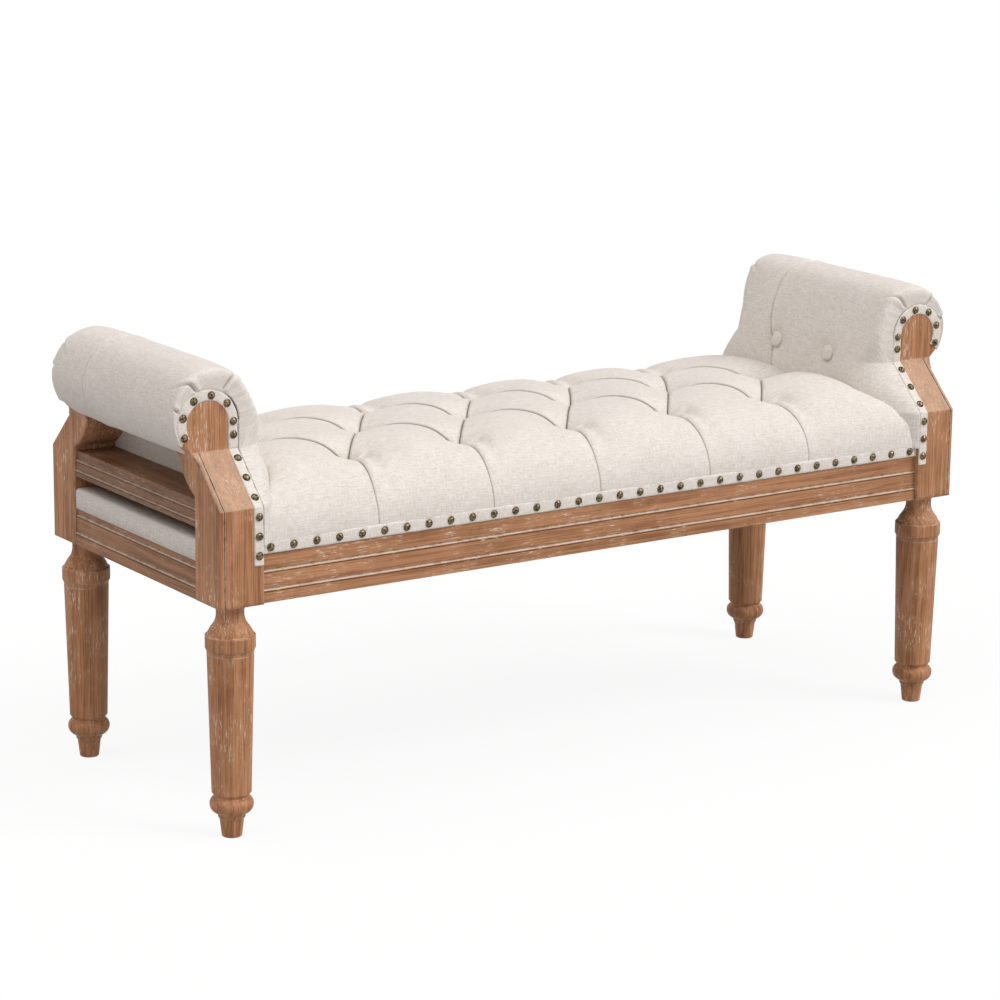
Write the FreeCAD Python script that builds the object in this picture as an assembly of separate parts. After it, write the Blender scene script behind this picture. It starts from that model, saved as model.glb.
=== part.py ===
import FreeCAD, Part
import math
import os

# Upholstered bench with a tufted seat and two scrolled arms, in millimetres.
# X runs along the bench, Y from front to back and Z up. The origin is on the floor,
# under the middle of the bench, and the bench is symmetric left to right and front to back.

# Overall frame
frame_length = 1210.0        # over the outer faces of the posts
frame_depth = 466.0          # over the front faces of the posts, front to back
leg_length = 313.0           # floor to the underside of posts and rails
post_width = 63.0            # along the bench
post_depth = 65.0            # front to back, below the slope
fit = 0.3                    # gap left round soft pieces
joint_fit = 0.15             # gap round dowels, bolts and screws
end_play = 0.5               # dowels and bolts short of the ends of their holes
over = 1.0                   # how far a cutting shape reaches past the face it opens

# Post: upright, sloped back at the front, then a round head. Rises are above its underside
post_height = 272.0
slope_rise = 128.0           # where the front face starts to lean back
slope_height = 64.0
head_setback = 65.0          # how far the head stands behind the lower front face
head_depth = 44.0
head_radius = 44.0
curve_rise = 136.0           # where the inner face starts to curve
curve_height = 56.0
back_curve_bulge = 8.5
neck_rise = 179.0            # where the outer edge swells into the head
neck_angle = 40.0            # degrees below level where the swelling meets the head
neck_hollow = 2.0            # how hollow the swelling is
bead_width = 7.0
bead_groove = 1.6
bead_radius = 3.0

# Turned leg
turned_edge = 1.0            # narrow chamfer along its sharp edges
foot_diameter = 26.5
peg_diameter = 32.0
peg_height = 25.0
collarette_diameter = 36.0   # small ring above the peg
collarette_height = 3.0
ring_base_diameter = 44.0    # where the round ring begins
ring_base_height = 33.0
ring_diameter = 57.4         # full round ring above the foot
ring_height = 44.0
ring_round = 1.8             # how round its two halves are
waist_diameter = 44.4
waist_height = 55.0
column_low_diameter = 52.0
column_low_height = 60.5
column_top_diameter = 61.2
column_top_drop = 66.0       # below the leg's top, like the other drops
groove_depth = 0.8           # fine turned groove above the column
groove_height = 3.0
band_diameter = 65.6
band_low_drop = 59.5
band_top_drop = 41.5
shoulder_diameter = 61.0
shoulder_round = 0.7
throat_diameter = 46.1       # where the shoulder turns into the hollow neck
throat_drop = 28.5
neck_diameter = 36.6
neck_drop = 13.0
neck_cove = 1.4
leg_top_diameter = 45.0

# Rails
rail_height = 64.0
rail_thickness = 22.0
rail_reveal = 5.0            # front rail face behind the post face
side_reveal = 0.5            # side rail face behind the post face
ledge_low = 17.0             # heights of the two ledges above the rail's lower edge
ledge_high = 41.5
ledge_step = 1.5             # each band above a ledge lies this much further back
quirk_depth = 1.7
quirk_height = 2.0
ledge_round = 1.5

# Upper side rail under the arm
arm_rail_gap = 20.0          # above the seat board
arm_rail_height = 34.0
arm_ledge_low = 8.5
arm_ledge_high = 22.0

# Joinery and fasteners
dowel_diameter = 8.0
dowel_in_post = 22.0
dowel_in_rail = 30.0
dowel_spacing = 30.0
bolt_diameter = 8.0
bolt_in_leg = 45.0
bolt_in_post = 40.0
screw_diameter = 4.0
screw_head_diameter = 8.0
screw_head_height = 3.0
screw_length = 34.0
screw_in_block = 19.0        # length of a corner block screw inside the block
arm_screw_drop = 15.0        # upper arm board screw below the board's top
board_screw_places = (150.0, 400.0)
block_reach_x = 67.0         # corner block along the front rail
block_reach_y = 70.0         # corner block along the side rail
block_drop = 12.0            # block below the seat board
block_height = 36.0
brace_width = 22.0
brace_height = 38.0
dust_cloth_thickness = 1.0

# Seat. Rises are above the seat board
board_thickness = 12.0
foam_height = 41.0
foam_inset = 12.0
seat_gap = 0.5               # between the seat and each arm pad
seat_rise = 98.0             # crown of the tufted pillows
pleat_rise = 81.0            # pleats halfway between two tufts
tuft_columns = 6             # tufts in the middle row
tuft_margin = 52.0           # last tuft of the middle row from the seat's end
row_margin = 101.5           # outer rows of tufts from the seat's front and back edges
tuft_rise = 67.0
pinch_share = 0.75           # height of the fold beside a tuft, from the tuft to the crown
crest_lift = 4.0             # crest between two tufts above the mean of crown and pleat
front_out_share = 0.16       # how far out the front's curve is fullest
front_up_share = 0.74        # how high it has risen there
seat_end_rise = 77.0         # pillows beside the arms
seat_end_drop = 8.0          # their middle below their crown
tie_end_depth = 3.0          # end of the twine below the tuft
tie_diameter = 2.0
tie_washer_diameter = 20.0
tie_washer_thickness = 3.0
band_height = 17.0           # nailed fabric band along front and back
band_thickness = 1.5
end_skin = 2.0               # fabric over the board end under each arm
end_skin_drop = 14.0         # how far it reaches down the side rail
end_skin_round = 2.0

# Arm. Rises are above the seat board
arm_board_thickness = 12.0
arm_board_height = 131.0
arm_board_inset = 8.0
arm_pad_thickness = 40.0     # padding on the seat side of the arm board
arm_pad_inset = 7.0          # padding behind the front faces of the posts
arm_pad_crown_rise = 81.0
roll_offset = -11.0          # roll axis from the head's axis, towards the seat
roll_rise = 12.0             # roll axis above the head's axis
roll_radius = 57.0           # at the front and back ends
roll_crown = 5.0             # how much fuller the roll is in its middle
roll_end_gap = 1.5           # roll end behind the head's front face
roll_shares = (-1.0, -0.94, -0.6, 0.0, 0.6, 0.94, 1.0)   # its sections, from end to end
core_radius = 30.0
cloth_tuck = 2.0             # back cloth below the roll
back_cloth_thickness = 1.2
strip_width = 14.0           # nailed fabric strip round the post's front
strip_rise = 52.0            # lower end of the strip above the post's underside
strip_end_angle = 32.0       # degrees below level where the strip ends outside
button_diameter = 22.0
button_height = 6.0
button_spacing = 120.0
button_rise = 116.0
button_depth = 8.0           # how far the button is drawn into the pad
button_share = 0.8           # pad thickness at the buttons, as a share of its crown
dimple_wide_ratio = 3.2      # mouth of the dimple against the button
dimple_deep_ratio = 2.2      # its length against the button's depth

# Nails
nail_diameter = 10.8
nail_rise = 3.4
seat_nail_count = 32
post_nail_count = 3          # strip nails below the slope, on it, above it and round the head
slope_nail_count = 3
upright_nail_count = 1
head_nail_count = 6
head_nail_margin = 8.0       # degrees from the strip's end to its last nail
seat_nail_margin = 13.0      # first seat nail from the post

# Places worked out from the sizes above
post_in = frame_length / 2 - post_width
post_out = frame_length / 2
face_front = frame_depth / 2
slope_start = leg_length + slope_rise
head_height = leg_length + post_height
back_curve_start = leg_length + curve_rise
back_curve_end = back_curve_start + curve_height
neck_start = leg_length + neck_rise
strip_low = leg_length + strip_rise
post_back = face_front - post_depth
head_front = face_front - head_setback
head_back = head_front - head_depth
slope_end = slope_start + slope_height
head_x = post_in + head_radius
head_z = head_height - head_radius
leg_x = (post_in + post_out) / 2
leg_y = (face_front + post_back) / 2
rail_face = face_front - rail_reveal
rail_inner = rail_face - rail_thickness
side_face = post_out - side_reveal
side_inner = side_face - rail_thickness
rail_top = leg_length + rail_height
rail_recess = 2 * ledge_step
board_top = rail_top + board_thickness
seat_length = 2 * (post_in - arm_board_thickness - arm_pad_thickness - seat_gap)
seat_top = board_top + seat_rise
seat_pleat = board_top + pleat_rise
tuft_height = board_top + tuft_rise
seat_end_top = board_top + seat_end_rise
arm_rail_base = board_top + arm_rail_gap
arm_board_top = board_top + arm_board_height
button_level = board_top + button_rise
board_edge = rail_face - band_thickness
tuft_spacing = (seat_length - 2 * tuft_margin) / (tuft_columns - 1)
tuft_rows = board_edge - row_margin
board_side = side_face - rail_recess
roll_x = head_x + roll_offset
roll_z = head_z + roll_rise
roll_end = head_front - roll_end_gap
slope_turn = math.atan2(head_setback, slope_height)
slope_miter = math.tan(slope_turn / 2)
brace_place = tuft_spacing * 0.75
roll_full = roll_radius + roll_crown
cloth_top = roll_z - math.sqrt(roll_full ** 2 - (roll_x - post_in) ** 2) - cloth_tuck
sides = {"left": -1, "right": 1}
ends = {"front": -1, "back": 1}


def vec(x, y, z):
    return FreeCAD.Vector(x, y, z)


def on_xz(a, b):
    return vec(a, 0, b)


def on_yz(a, b):
    return vec(0, a, b)


def on_xy(a, b):
    return vec(a, b, 0)


def outline(place, start, *steps):
    """A closed face: each step is a point for a line, or (through, end) for an arc."""
    edges = []
    here = start
    for step in steps + (start,):
        if isinstance(step[0], tuple):
            through, there = step
            edges.append(Part.Arc(place(*here), place(*through), place(*there)).toShape())
        else:
            there = step
            if there != here:
                edges.append(Part.LineSegment(place(*here), place(*there)).toShape())
        here = there
    return Part.Face(Part.Wire(edges))


def along_x(face, x0, x1):
    shape = face.extrude(vec(x1 - x0, 0, 0))
    shape.translate(vec(x0, 0, 0))
    return shape


def along_y(face, y0, y1):
    shape = face.extrude(vec(0, y1 - y0, 0))
    shape.translate(vec(0, y0, 0))
    return shape


def along_z(face, z0, z1):
    shape = face.extrude(vec(0, 0, z1 - z0))
    shape.translate(vec(0, 0, z0))
    return shape


def box(x0, x1, y0, y1, z0, z1):
    return Part.makeBox(x1 - x0, y1 - y0, z1 - z0, vec(x0, y0, z0))


def rod(diameter, start, end):
    axis = end - start
    return Part.makeCylinder(diameter / 2, axis.Length, start, axis)


def place_at(shape, side, end):
    """Copy a piece drawn in the right back corner to the corner named by two signs."""
    copy = shape.copy()
    if side < 0:
        copy = copy.mirror(vec(0, 0, 0), vec(1, 0, 0))
    if end < 0:
        copy = copy.mirror(vec(0, 0, 0), vec(0, 1, 0))
    return copy


def four_corners(shape):
    return [place_at(shape, side, end) for side in (-1, 1) for end in (-1, 1)]


def group(shapes):
    return Part.makeCompound(shapes)


def save(name, shape):
    shape.exportStep(os.path.join("parts", name + ".step"))


def on_circle(x, z, radius, degrees):
    angle = math.radians(degrees)
    return (x + radius * math.cos(angle), z + radius * math.sin(angle))


def bowed(start, end, rise):
    """The middle of an arc between two points, its rise to the right of the way."""
    across = end[0] - start[0]
    up = end[1] - start[1]
    length = math.hypot(across, up)
    return ((start[0] + end[0]) / 2 + up / length * rise,
            (start[1] + end[1]) / 2 - across / length * rise)


def front_ribbon(inward, outward, low, high):
    """A ribbon along the post's front face, from one offset of the face to another."""
    def corners(offset):
        lift = offset * slope_miter
        return [(face_front + offset, low),
                (face_front + offset, slope_start + lift),
                (head_front + offset, slope_end + lift),
                (head_front + offset, high)]
    points = corners(outward) + list(reversed(corners(-inward)))
    return outline(on_yz, *points)


# Wooden frame

def post_side_view(grow):
    front = face_front + grow
    high_front = head_front + grow
    lift = grow * slope_miter
    curve_low = (post_back - grow, back_curve_start)
    curve_high = (head_back - grow, back_curve_end)
    return outline(on_yz,
                   (front, leg_length), (front, slope_start + lift),
                   (high_front, slope_end + lift), (high_front, head_height + grow),
                   (head_back - grow, head_height + grow), curve_high,
                   (bowed(curve_high, curve_low, back_curve_bulge), curve_low),
                   (post_back - grow, leg_length))


def post_front_view(grow):
    radius = head_radius + grow
    edge = (post_out + grow, neck_start)
    meet = on_circle(head_x, head_z, radius, -neck_angle)
    return outline(on_xz,
                   (post_in - grow, leg_length), (post_out + grow, leg_length), edge,
                   (bowed(edge, meet, -neck_hollow), meet),
                   (on_circle(head_x, head_z, radius, (90 - neck_angle) / 2),
                    (head_x, head_z + radius)),
                   (on_circle(head_x, head_z, radius, 135), (post_in - grow, head_z)))


def post_blank(grow=0.0):
    """The post's bare form, or the room it takes with a clearance all round."""
    body = along_x(post_side_view(grow), post_in - grow, post_out + head_radius)
    return body.common(along_y(post_front_view(grow), 0, face_front + over))


def post():
    """A post with a beaded outer corner that stops where the edge swells into the head."""
    wide = post_out + head_radius
    upright = post_blank().common(box(post_in, wide, 0, face_front, leg_length, neck_start))
    corner = [edge for edge in upright.Edges if is_outer_front(edge)]
    upright = upright.makeFillet(bead_radius, corner)
    top = post_blank().common(box(post_in, wide, 0, face_front, neck_start, head_height))
    groove_x = post_out - bead_width
    groove = along_x(front_ribbon(bead_groove, over, leg_length - over, slope_end), groove_x,
                     groove_x + bead_groove)
    return upright.fuse(top).cut(groove).cut(group(post_holes()))


def is_outer_front(edge):
    """True for the straight edges at the outer front corner."""
    for vertex in edge.Vertexes:
        point = vertex.Point
        height = min(max(point.z, slope_start), slope_end) - slope_start
        front = face_front - height * head_setback / slope_height
        if abs(point.x - post_out) > 0.01 or abs(point.y - front) > 0.01:
            return False
    return len(edge.Vertexes) == 2


def post_holes():
    holes = [rod(bolt_diameter + 2 * joint_fit, vec(leg_x, leg_y, leg_length - over),
                 vec(leg_x, leg_y, leg_length + bolt_in_post))]
    wide = dowel_diameter + 2 * joint_fit
    holes += [rod(wide, *line) for line in corner_dowel_lines()]
    holes += [screw_hole(*line) for line in arm_screw_lines()]
    return holes


def corner_dowel_lines():
    """Dowel axes of the right back corner: back rail, side rail and upper side rail."""
    middle = leg_length + rail_height / 2
    rail_y = rail_face - rail_thickness / 2 - ledge_step
    rail_x = side_face - rail_thickness / 2 - ledge_step
    lines = []
    for height in (middle - dowel_spacing / 2, middle + dowel_spacing / 2):
        lines.append((vec(post_in - dowel_in_rail, rail_y, height),
                      vec(post_in + dowel_in_post, rail_y, height)))
        lines.append((vec(rail_x, post_back - dowel_in_rail, height),
                      vec(rail_x, post_back + dowel_in_post, height)))
    arm_height = arm_rail_base + arm_rail_height / 2
    lines.append((vec(leg_x, post_back - dowel_in_rail, arm_height),
                  vec(leg_x, post_back + dowel_in_post, arm_height)))
    return lines


def dowel_holes():
    wide = dowel_diameter + 2 * joint_fit
    return group([hole for line in corner_dowel_lines() for hole in four_corners(rod(wide, *line))])


def leg_profile():
    """Half outline of the turned leg, radius against height."""
    def at(diameter, height):
        return (diameter / 2, height)

    def arc(start, end, rise):
        return (bowed(start, end, rise), end)
    edge = turned_edge
    ring_base = at(ring_base_diameter, ring_base_height)
    ring = at(ring_diameter, ring_height)
    waist = at(waist_diameter + edge, waist_height - edge)
    column_top = leg_length - column_top_drop
    band_low = leg_length - band_low_drop
    band_top = leg_length - band_top_drop
    shoulder = at(shoulder_diameter, band_top)
    throat = at(throat_diameter, leg_length - throat_drop)
    neck = at(neck_diameter, leg_length - neck_drop)
    groove = column_top_diameter - 2 * groove_depth
    return outline(on_xz,
                   (0, 0), at(foot_diameter - 2 * edge, 0), at(foot_diameter, edge),
                   at(peg_diameter, peg_height - edge),
                   at(collarette_diameter, peg_height + 2 * edge),
                   at(collarette_diameter, peg_height + 2 * edge + collarette_height), ring_base,
                   arc(ring_base, ring, ring_round), arc(ring, waist, ring_round),
                   at(waist_diameter, waist_height), at(column_low_diameter, column_low_height),
                   at(column_top_diameter, column_top - edge),
                   at(groove, column_top), at(column_top_diameter, column_top + edge),
                   at(column_top_diameter, column_top + groove_height),
                   at(band_diameter - edge, band_low), at(band_diameter, band_low + edge),
                   at(band_diameter, band_top - edge),
                   at(band_diameter - 2 * edge, band_top), shoulder,
                   arc(shoulder, throat, shoulder_round), arc(throat, neck, -neck_cove),
                   arc(neck, at(leg_top_diameter, leg_length), -neck_cove), (0, leg_length))


def leg():
    turned = leg_profile().revolve(vec(0, 0, 0), vec(0, 0, 1), 360)
    hole = rod(bolt_diameter + 2 * joint_fit, vec(0, 0, leg_length - bolt_in_leg),
               vec(0, 0, leg_length + over))
    turned = turned.cut(hole)
    turned.translate(vec(leg_x, leg_y, 0))
    return turned


def ledged_profile(place, face, inner, base, height, low, high):
    """Cross section of a rail: three bands, each stepped back above a rounded ledge."""
    def ledge(back, level):
        top = base + level
        nose = ledge_round * (1 - math.sqrt(0.5))
        return [(face - back, top - ledge_round),
                ((face - back - nose, top - nose), (face - back - ledge_round, top)),
                (face - back - ledge_step - quirk_depth, top),
                (face - back - ledge_step - quirk_depth, top + quirk_height),
                (face - back - ledge_step, top + quirk_height)]
    points = [(inner, base), (face, base)] + ledge(0, low) + ledge(ledge_step, high)
    points += [(face - 2 * ledge_step, base + height), (inner, base + height)]
    return outline(place, *points)


def long_rail():
    profile = ledged_profile(on_yz, rail_face, rail_inner, leg_length, rail_height,
                             ledge_low, ledge_high)
    rail = along_x(profile, -post_in, post_in)
    return rail.cut(dowel_holes()).cut(group(board_screw_holes() + block_screw_holes()))


def side_rail():
    profile = ledged_profile(on_xz, side_face, side_inner, leg_length, rail_height,
                             ledge_low, ledge_high)
    rail = along_y(profile, -post_back, post_back)
    return rail.cut(dowel_holes()).cut(group(block_screw_holes()))


def arm_rail():
    inner = post_in + back_cloth_thickness + fit
    profile = ledged_profile(on_xz, side_face, inner, arm_rail_base, arm_rail_height,
                             arm_ledge_low, arm_ledge_high)
    return along_y(profile, -post_back, post_back).cut(dowel_holes())


def corner_block():
    top = rail_top - block_drop
    near_x = post_in - fit
    near_y = post_back - fit
    shape = outline(on_xy,
                    (near_x, rail_inner), (near_x - block_reach_x, rail_inner),
                    (side_inner, near_y - block_reach_y), (side_inner, near_y),
                    (near_x, near_y))
    block = along_z(shape, top - block_height, top)
    return block.cut(group(block_screw_holes()))


def block_screw_lines():
    """Screws from a corner block into the long rail and into the side rail."""
    height = rail_top - block_drop - block_height / 2
    x = post_in - block_reach_x / 2
    y = post_back - block_reach_y / 2
    return [(vec(x, rail_inner - screw_in_block, height), vec(0, 1, 0)),
            (vec(side_inner - screw_in_block, y, height), vec(1, 0, 0))]


def block_screw_holes():
    return [hole for start, direction in block_screw_lines()
            for hole in four_corners(screw_hole(start, direction, block_reach_y / 2))]


def brace():
    return box(-brace_width / 2, brace_width / 2, -rail_inner, rail_inner,
               rail_top - brace_height, rail_top)


def screw(start, direction):
    """A screw whose head starts at a point and whose shank runs in a direction."""
    head = rod(screw_head_diameter, start, start + direction * screw_head_height)
    return head.fuse(rod(screw_diameter, start, start + direction * screw_length))


def screw_hole(start, direction, access=0.0):
    """The screw's own room, with a wider way in before its head."""
    wide = screw_head_diameter + 2 * joint_fit
    head = rod(wide, start - direction * access, start + direction * screw_head_height)
    tip = start + direction * (screw_length + joint_fit)
    return head.fuse(rod(screw_diameter + 2 * joint_fit, start, tip))


def board_screw_lines():
    y = rail_face - rail_thickness / 2 - ledge_step
    return [(vec(x, y, board_top), vec(0, 0, -1)) for x in board_screw_places]


def board_screw_holes():
    return [hole for line in board_screw_lines() for hole in four_corners(screw_hole(*line))]


def arm_screw_lines():
    """Screws from the arm board into the right back post."""
    start_x = post_in - arm_board_thickness
    low = vec(start_x, leg_y, arm_rail_base + arm_rail_height / 2)
    high = vec(start_x, (head_front + head_back) / 2, arm_board_top - arm_screw_drop)
    return [(low, vec(1, 0, 0)), (high, vec(1, 0, 0))]


def frame():
    body = post()
    turned = leg()
    for side, side_sign in sides.items():
        for end, end_sign in ends.items():
            save("post_%s_%s" % (end, side), place_at(body, side_sign, end_sign))
            save("leg_%s_%s" % (end, side), place_at(turned, side_sign, end_sign))
        save("rail_" + side, place_at(side_rail(), side_sign, 1))
        save("arm_rail_" + side, place_at(arm_rail(), side_sign, 1))
    for end, end_sign in ends.items():
        save("rail_" + end, place_at(long_rail(), 1, end_sign))
    save("corner_blocks", group(four_corners(corner_block())))
    braces = [brace(), brace()]
    braces[0].translate(vec(-brace_place, 0, 0))
    braces[1].translate(vec(brace_place, 0, 0))
    save("seat_braces", group(braces))


def hardware():
    bolt = rod(bolt_diameter, vec(leg_x, leg_y, leg_length - bolt_in_leg + end_play),
               vec(leg_x, leg_y, leg_length + bolt_in_post - end_play))
    save("hanger_bolts", group(four_corners(bolt)))
    dowels = []
    for start, end in corner_dowel_lines():
        along = (end - start).normalize() * end_play
        dowels += four_corners(rod(dowel_diameter, start + along, end - along))
    save("frame_dowels", group(dowels))
    for name, lines in (("seat_board_screws", board_screw_lines()),
                        ("corner_block_screws", block_screw_lines()),
                        ("arm_board_screws", arm_screw_lines())):
        save(name, group([part for line in lines for part in four_corners(screw(*line))]))


# Seat

def tuft_places():
    """Tufts of the seat: two outer rows, and a middle row set half a space over."""
    first = -tuft_spacing * (tuft_columns - 1) / 2
    middle = [first + tuft_spacing * step for step in range(tuft_columns)]
    outer = [first + tuft_spacing * (step + 0.5) for step in range(tuft_columns - 1)]
    places = [(x, row) for row in (-tuft_rows, tuft_rows) for x in outer]
    return places + [(x, 0.0) for x in middle]


def seat_board():
    gap = fit
    shape = outline(on_xy,
                    (-board_side, -post_back + gap), (-post_in + gap, -post_back + gap),
                    (-post_in + gap, -board_edge), (post_in - gap, -board_edge),
                    (post_in - gap, -post_back + gap), (board_side, -post_back + gap),
                    (board_side, post_back - gap), (post_in - gap, post_back - gap),
                    (post_in - gap, board_edge), (-post_in + gap, board_edge),
                    (-post_in + gap, post_back - gap), (-board_side, post_back - gap))
    board = along_z(shape, rail_top, board_top)
    return board.cut(group(board_screw_holes() + tie_holes()))


def tie_holes():
    wide = tie_diameter + 2 * joint_fit
    return [rod(wide, vec(x, y, rail_top - over), vec(x, y, tuft_height - tie_end_depth + joint_fit))
            for x, y in tuft_places()]


def tuft_ties():
    """Twine from each tuft down through the board, each with its washer underneath."""
    ties = []
    for x, y in tuft_places():
        twine = rod(tie_diameter, vec(x, y, rail_top - tie_washer_thickness),
                    vec(x, y, tuft_height - tie_end_depth))
        washer = rod(tie_washer_diameter, vec(x, y, rail_top - tie_washer_thickness),
                     vec(x, y, rail_top))
        ties.append(twine.fuse(washer))
    return group(ties)


def seat_foam():
    length = seat_length / 2 - foam_inset
    depth = board_edge - foam_inset
    foam = box(-length, length, -depth, depth, board_top + fit, board_top + foam_height)
    return foam.cut(group(tie_holes()))


def seat_section(x, outer_row, pleat, middle_row):
    """Section across the seat, arched from the front edge over the rows to the back edge."""
    base = board_top + fit
    lip = base + band_height - board_thickness
    half = tuft_rows / 2
    shoulder = (tuft_rows + board_edge) / 2 + (board_edge - tuft_rows) * front_out_share
    shoulder_z = lip + (outer_row - lip) * front_up_share

    def place(y, z):
        return vec(x, y, z)
    face = outline(place,
                   (-board_edge, base), (-board_edge, lip),
                   ((-shoulder, shoulder_z), (-tuft_rows, outer_row)),
                   ((-half, pleat), (0.0, middle_row)),
                   ((half, pleat), (tuft_rows, outer_row)),
                   ((shoulder, shoulder_z), (board_edge, lip)), (board_edge, base))
    return face.OuterWire


def seat_cover():
    """Deep tufted top: sections through the outer tufts, the pleats and the middle tufts."""
    crest = (seat_top + seat_pleat) / 2 + crest_lift
    rising = tuft_height + (seat_top - tuft_height) * pinch_share
    end = seat_length / 2
    low_end = seat_end_top - seat_end_drop
    sections = [seat_section(-end, seat_end_top, low_end, low_end)]
    quarters = 4 * (tuft_columns - 1)
    for step in range(quarters + 1):
        x = (step - quarters / 2) * tuft_spacing / 4
        if step % 4 == 0:
            sections.append(seat_section(x, seat_top, rising, tuft_height))
        elif step % 4 == 2:
            sections.append(seat_section(x, tuft_height, rising, seat_top))
        else:
            sections.append(seat_section(x, crest, seat_pleat, crest))
    sections.append(seat_section(end, seat_end_top, low_end, low_end))
    cover = Part.makeLoft(sections, True, True)
    foam_room = box(-end + foam_inset - fit, end - foam_inset + fit,
                    -board_edge + foam_inset - fit, board_edge - foam_inset + fit,
                    board_top, board_top + foam_height + fit)
    return cover.cut(foam_room).cut(group(tie_holes()))


def seat_band():
    return box(-post_in + fit, post_in - fit, board_edge, board_edge + band_thickness,
               rail_top, rail_top + band_height)


def seat_end():
    """Fabric over the end of the seat board, from the arm down over the side rail."""
    inner = post_in + fit
    outer = board_side + end_skin
    top = board_top + end_skin
    nose = end_skin_round * (1 - math.sqrt(0.5))
    shape = outline(on_xz,
                    (inner, board_top), (board_side, board_top),
                    (board_side, rail_top - end_skin_drop), (outer, rail_top - end_skin_drop),
                    (outer, top - end_skin_round),
                    ((outer - nose, top - nose), (outer - end_skin_round, top)), (inner, top))
    return along_y(shape, -post_back + fit, post_back - fit)


def dust_cloth():
    top = rail_top - block_drop - block_height
    inner_x = side_inner - fit
    inner_y = rail_inner - fit
    cloth = box(-inner_x, inner_x, -inner_y, inner_y, top - dust_cloth_thickness, top)
    room = box(post_in - over, post_out, post_back - over, face_front, leg_length, rail_top)
    return cloth.cut(group(four_corners(room)))


def domed(radius, rim, top):
    """A round piece with a flat base, an upright rim and a domed top."""
    rise = top - rim
    sphere = (radius ** 2 + rise ** 2) / (2 * rise)
    middle = math.asin(radius / sphere) / 2
    through = (sphere * math.sin(middle), top - sphere * (1 - math.cos(middle)))
    half = outline(on_xz, (0, 0), (radius, 0), (radius, rim), (through, (0, top)))
    return half.revolve(vec(0, 0, 0), vec(0, 0, 1), 360)


def set_on(piece, point, normal):
    piece.Placement = FreeCAD.Placement(point, FreeCAD.Rotation(vec(0, 0, 1), normal))
    return piece


def nail(point, normal):
    """A domed nail head sitting on a point of the surface."""
    return set_on(domed(nail_diameter / 2, nail_rise * 0.15, nail_rise), point, normal)


def seat_nails():
    """A row of nails along the band, drawn at the back."""
    reach = post_in - seat_nail_margin
    face = board_edge + band_thickness
    height = rail_top + band_height / 2
    step = 2 * reach / (seat_nail_count - 1)
    return group([nail(vec(-reach + step * number, face, height), vec(0, 1, 0))
                  for number in range(seat_nail_count)])


def seat():
    save("seat_board", seat_board())
    save("seat_foam", seat_foam())
    save("seat_cover", seat_cover())
    save("tuft_ties", tuft_ties())
    save("dust_cloth", dust_cloth())
    for end, end_sign in ends.items():
        save("seat_band_" + end, place_at(seat_band(), 1, end_sign))
        save("seat_nails_" + end, place_at(seat_nails(), 1, end_sign))
    for side, side_sign in sides.items():
        save("seat_end_" + side, place_at(seat_end(), side_sign, 1))


# Arms

def arm_outline(x, inset, low, top):
    """Side view of the arm at one depth, following the slope of the posts."""
    def place(y, z):
        return vec(x, y, z)
    wide = face_front - inset
    narrow = head_front - inset
    return outline(place,
                   (-wide, low), (wide, low), (wide, slope_start), (narrow, slope_end),
                   (narrow, top), (-narrow, top), (-narrow, slope_end), (-wide, slope_start))


def arm_board():
    inner = post_in - arm_board_thickness
    shape = arm_outline(inner, arm_board_inset, board_top, arm_board_top)
    board = shape.extrude(vec(arm_board_thickness, 0, 0))
    holes = [hole for line in arm_screw_lines() for hole in four_corners(screw_hole(*line))]
    return board.cut(group(holes))


def roll_section(y, radius):
    """Round section of the roll, as three arcs."""
    points = [on_circle(roll_x, roll_z, radius, angle) for angle in range(-30, 331, 60)]
    arcs = []
    for start in (0, 2, 4):
        places = [vec(x, y, z) for x, z in points[start:start + 3]]
        arcs.append(Part.Arc(*places).toShape())
    return Part.Wire(arcs)


def roll():
    """Padded roll along the top of the arm, fuller in its middle than at its ends."""
    sections = []
    for share in roll_shares:
        fullness = roll_crown * math.sqrt(1 - share ** 2)
        sections.append(roll_section(share * roll_end, roll_radius + fullness))
    return Part.makeLoft(sections, True, False)


def inner_pad():
    """Padding on the seat side of the arm board, drawn in towards its edges."""
    start = post_in - arm_board_thickness
    floor = board_top + fit
    layers = ((0.0, 0.0, 0.0, roll_z), (0.45, 2.5, 0.0, roll_z - 15.0),
              (button_share, 12.0, 2.0, button_level),
              (1.0, 32.0, 8.0, board_top + arm_pad_crown_rise))
    wires = []
    for share, inset, lift, top in layers:
        x = start - share * arm_pad_thickness
        wires.append(arm_outline(x, arm_pad_inset + inset, floor + lift, top).OuterWire)
    return Part.makeLoft(wires, True, True)


def core():
    return rod(2 * core_radius, vec(head_x, -head_back + fit, head_z),
               vec(head_x, head_back - fit, head_z))


def button_places():
    x = post_in - arm_board_thickness - arm_pad_thickness * button_share
    return [vec(x, y, button_level) for y in (-button_spacing / 2, button_spacing / 2)]


def button_dimple(place):
    wide = button_diameter / 2
    base = place + vec(button_depth + joint_fit, 0, 0)
    return Part.makeCone(wide + fit, wide * dimple_wide_ratio, button_depth * dimple_deep_ratio, base,
                         vec(-1, 0, 0))


def arm_button(place):
    """A fabric button, domed towards the seat."""
    button = domed(button_diameter / 2, button_height * 0.35, button_height)
    return set_on(button, place + vec(button_depth, 0, 0), vec(-1, 0, 0))


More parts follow.
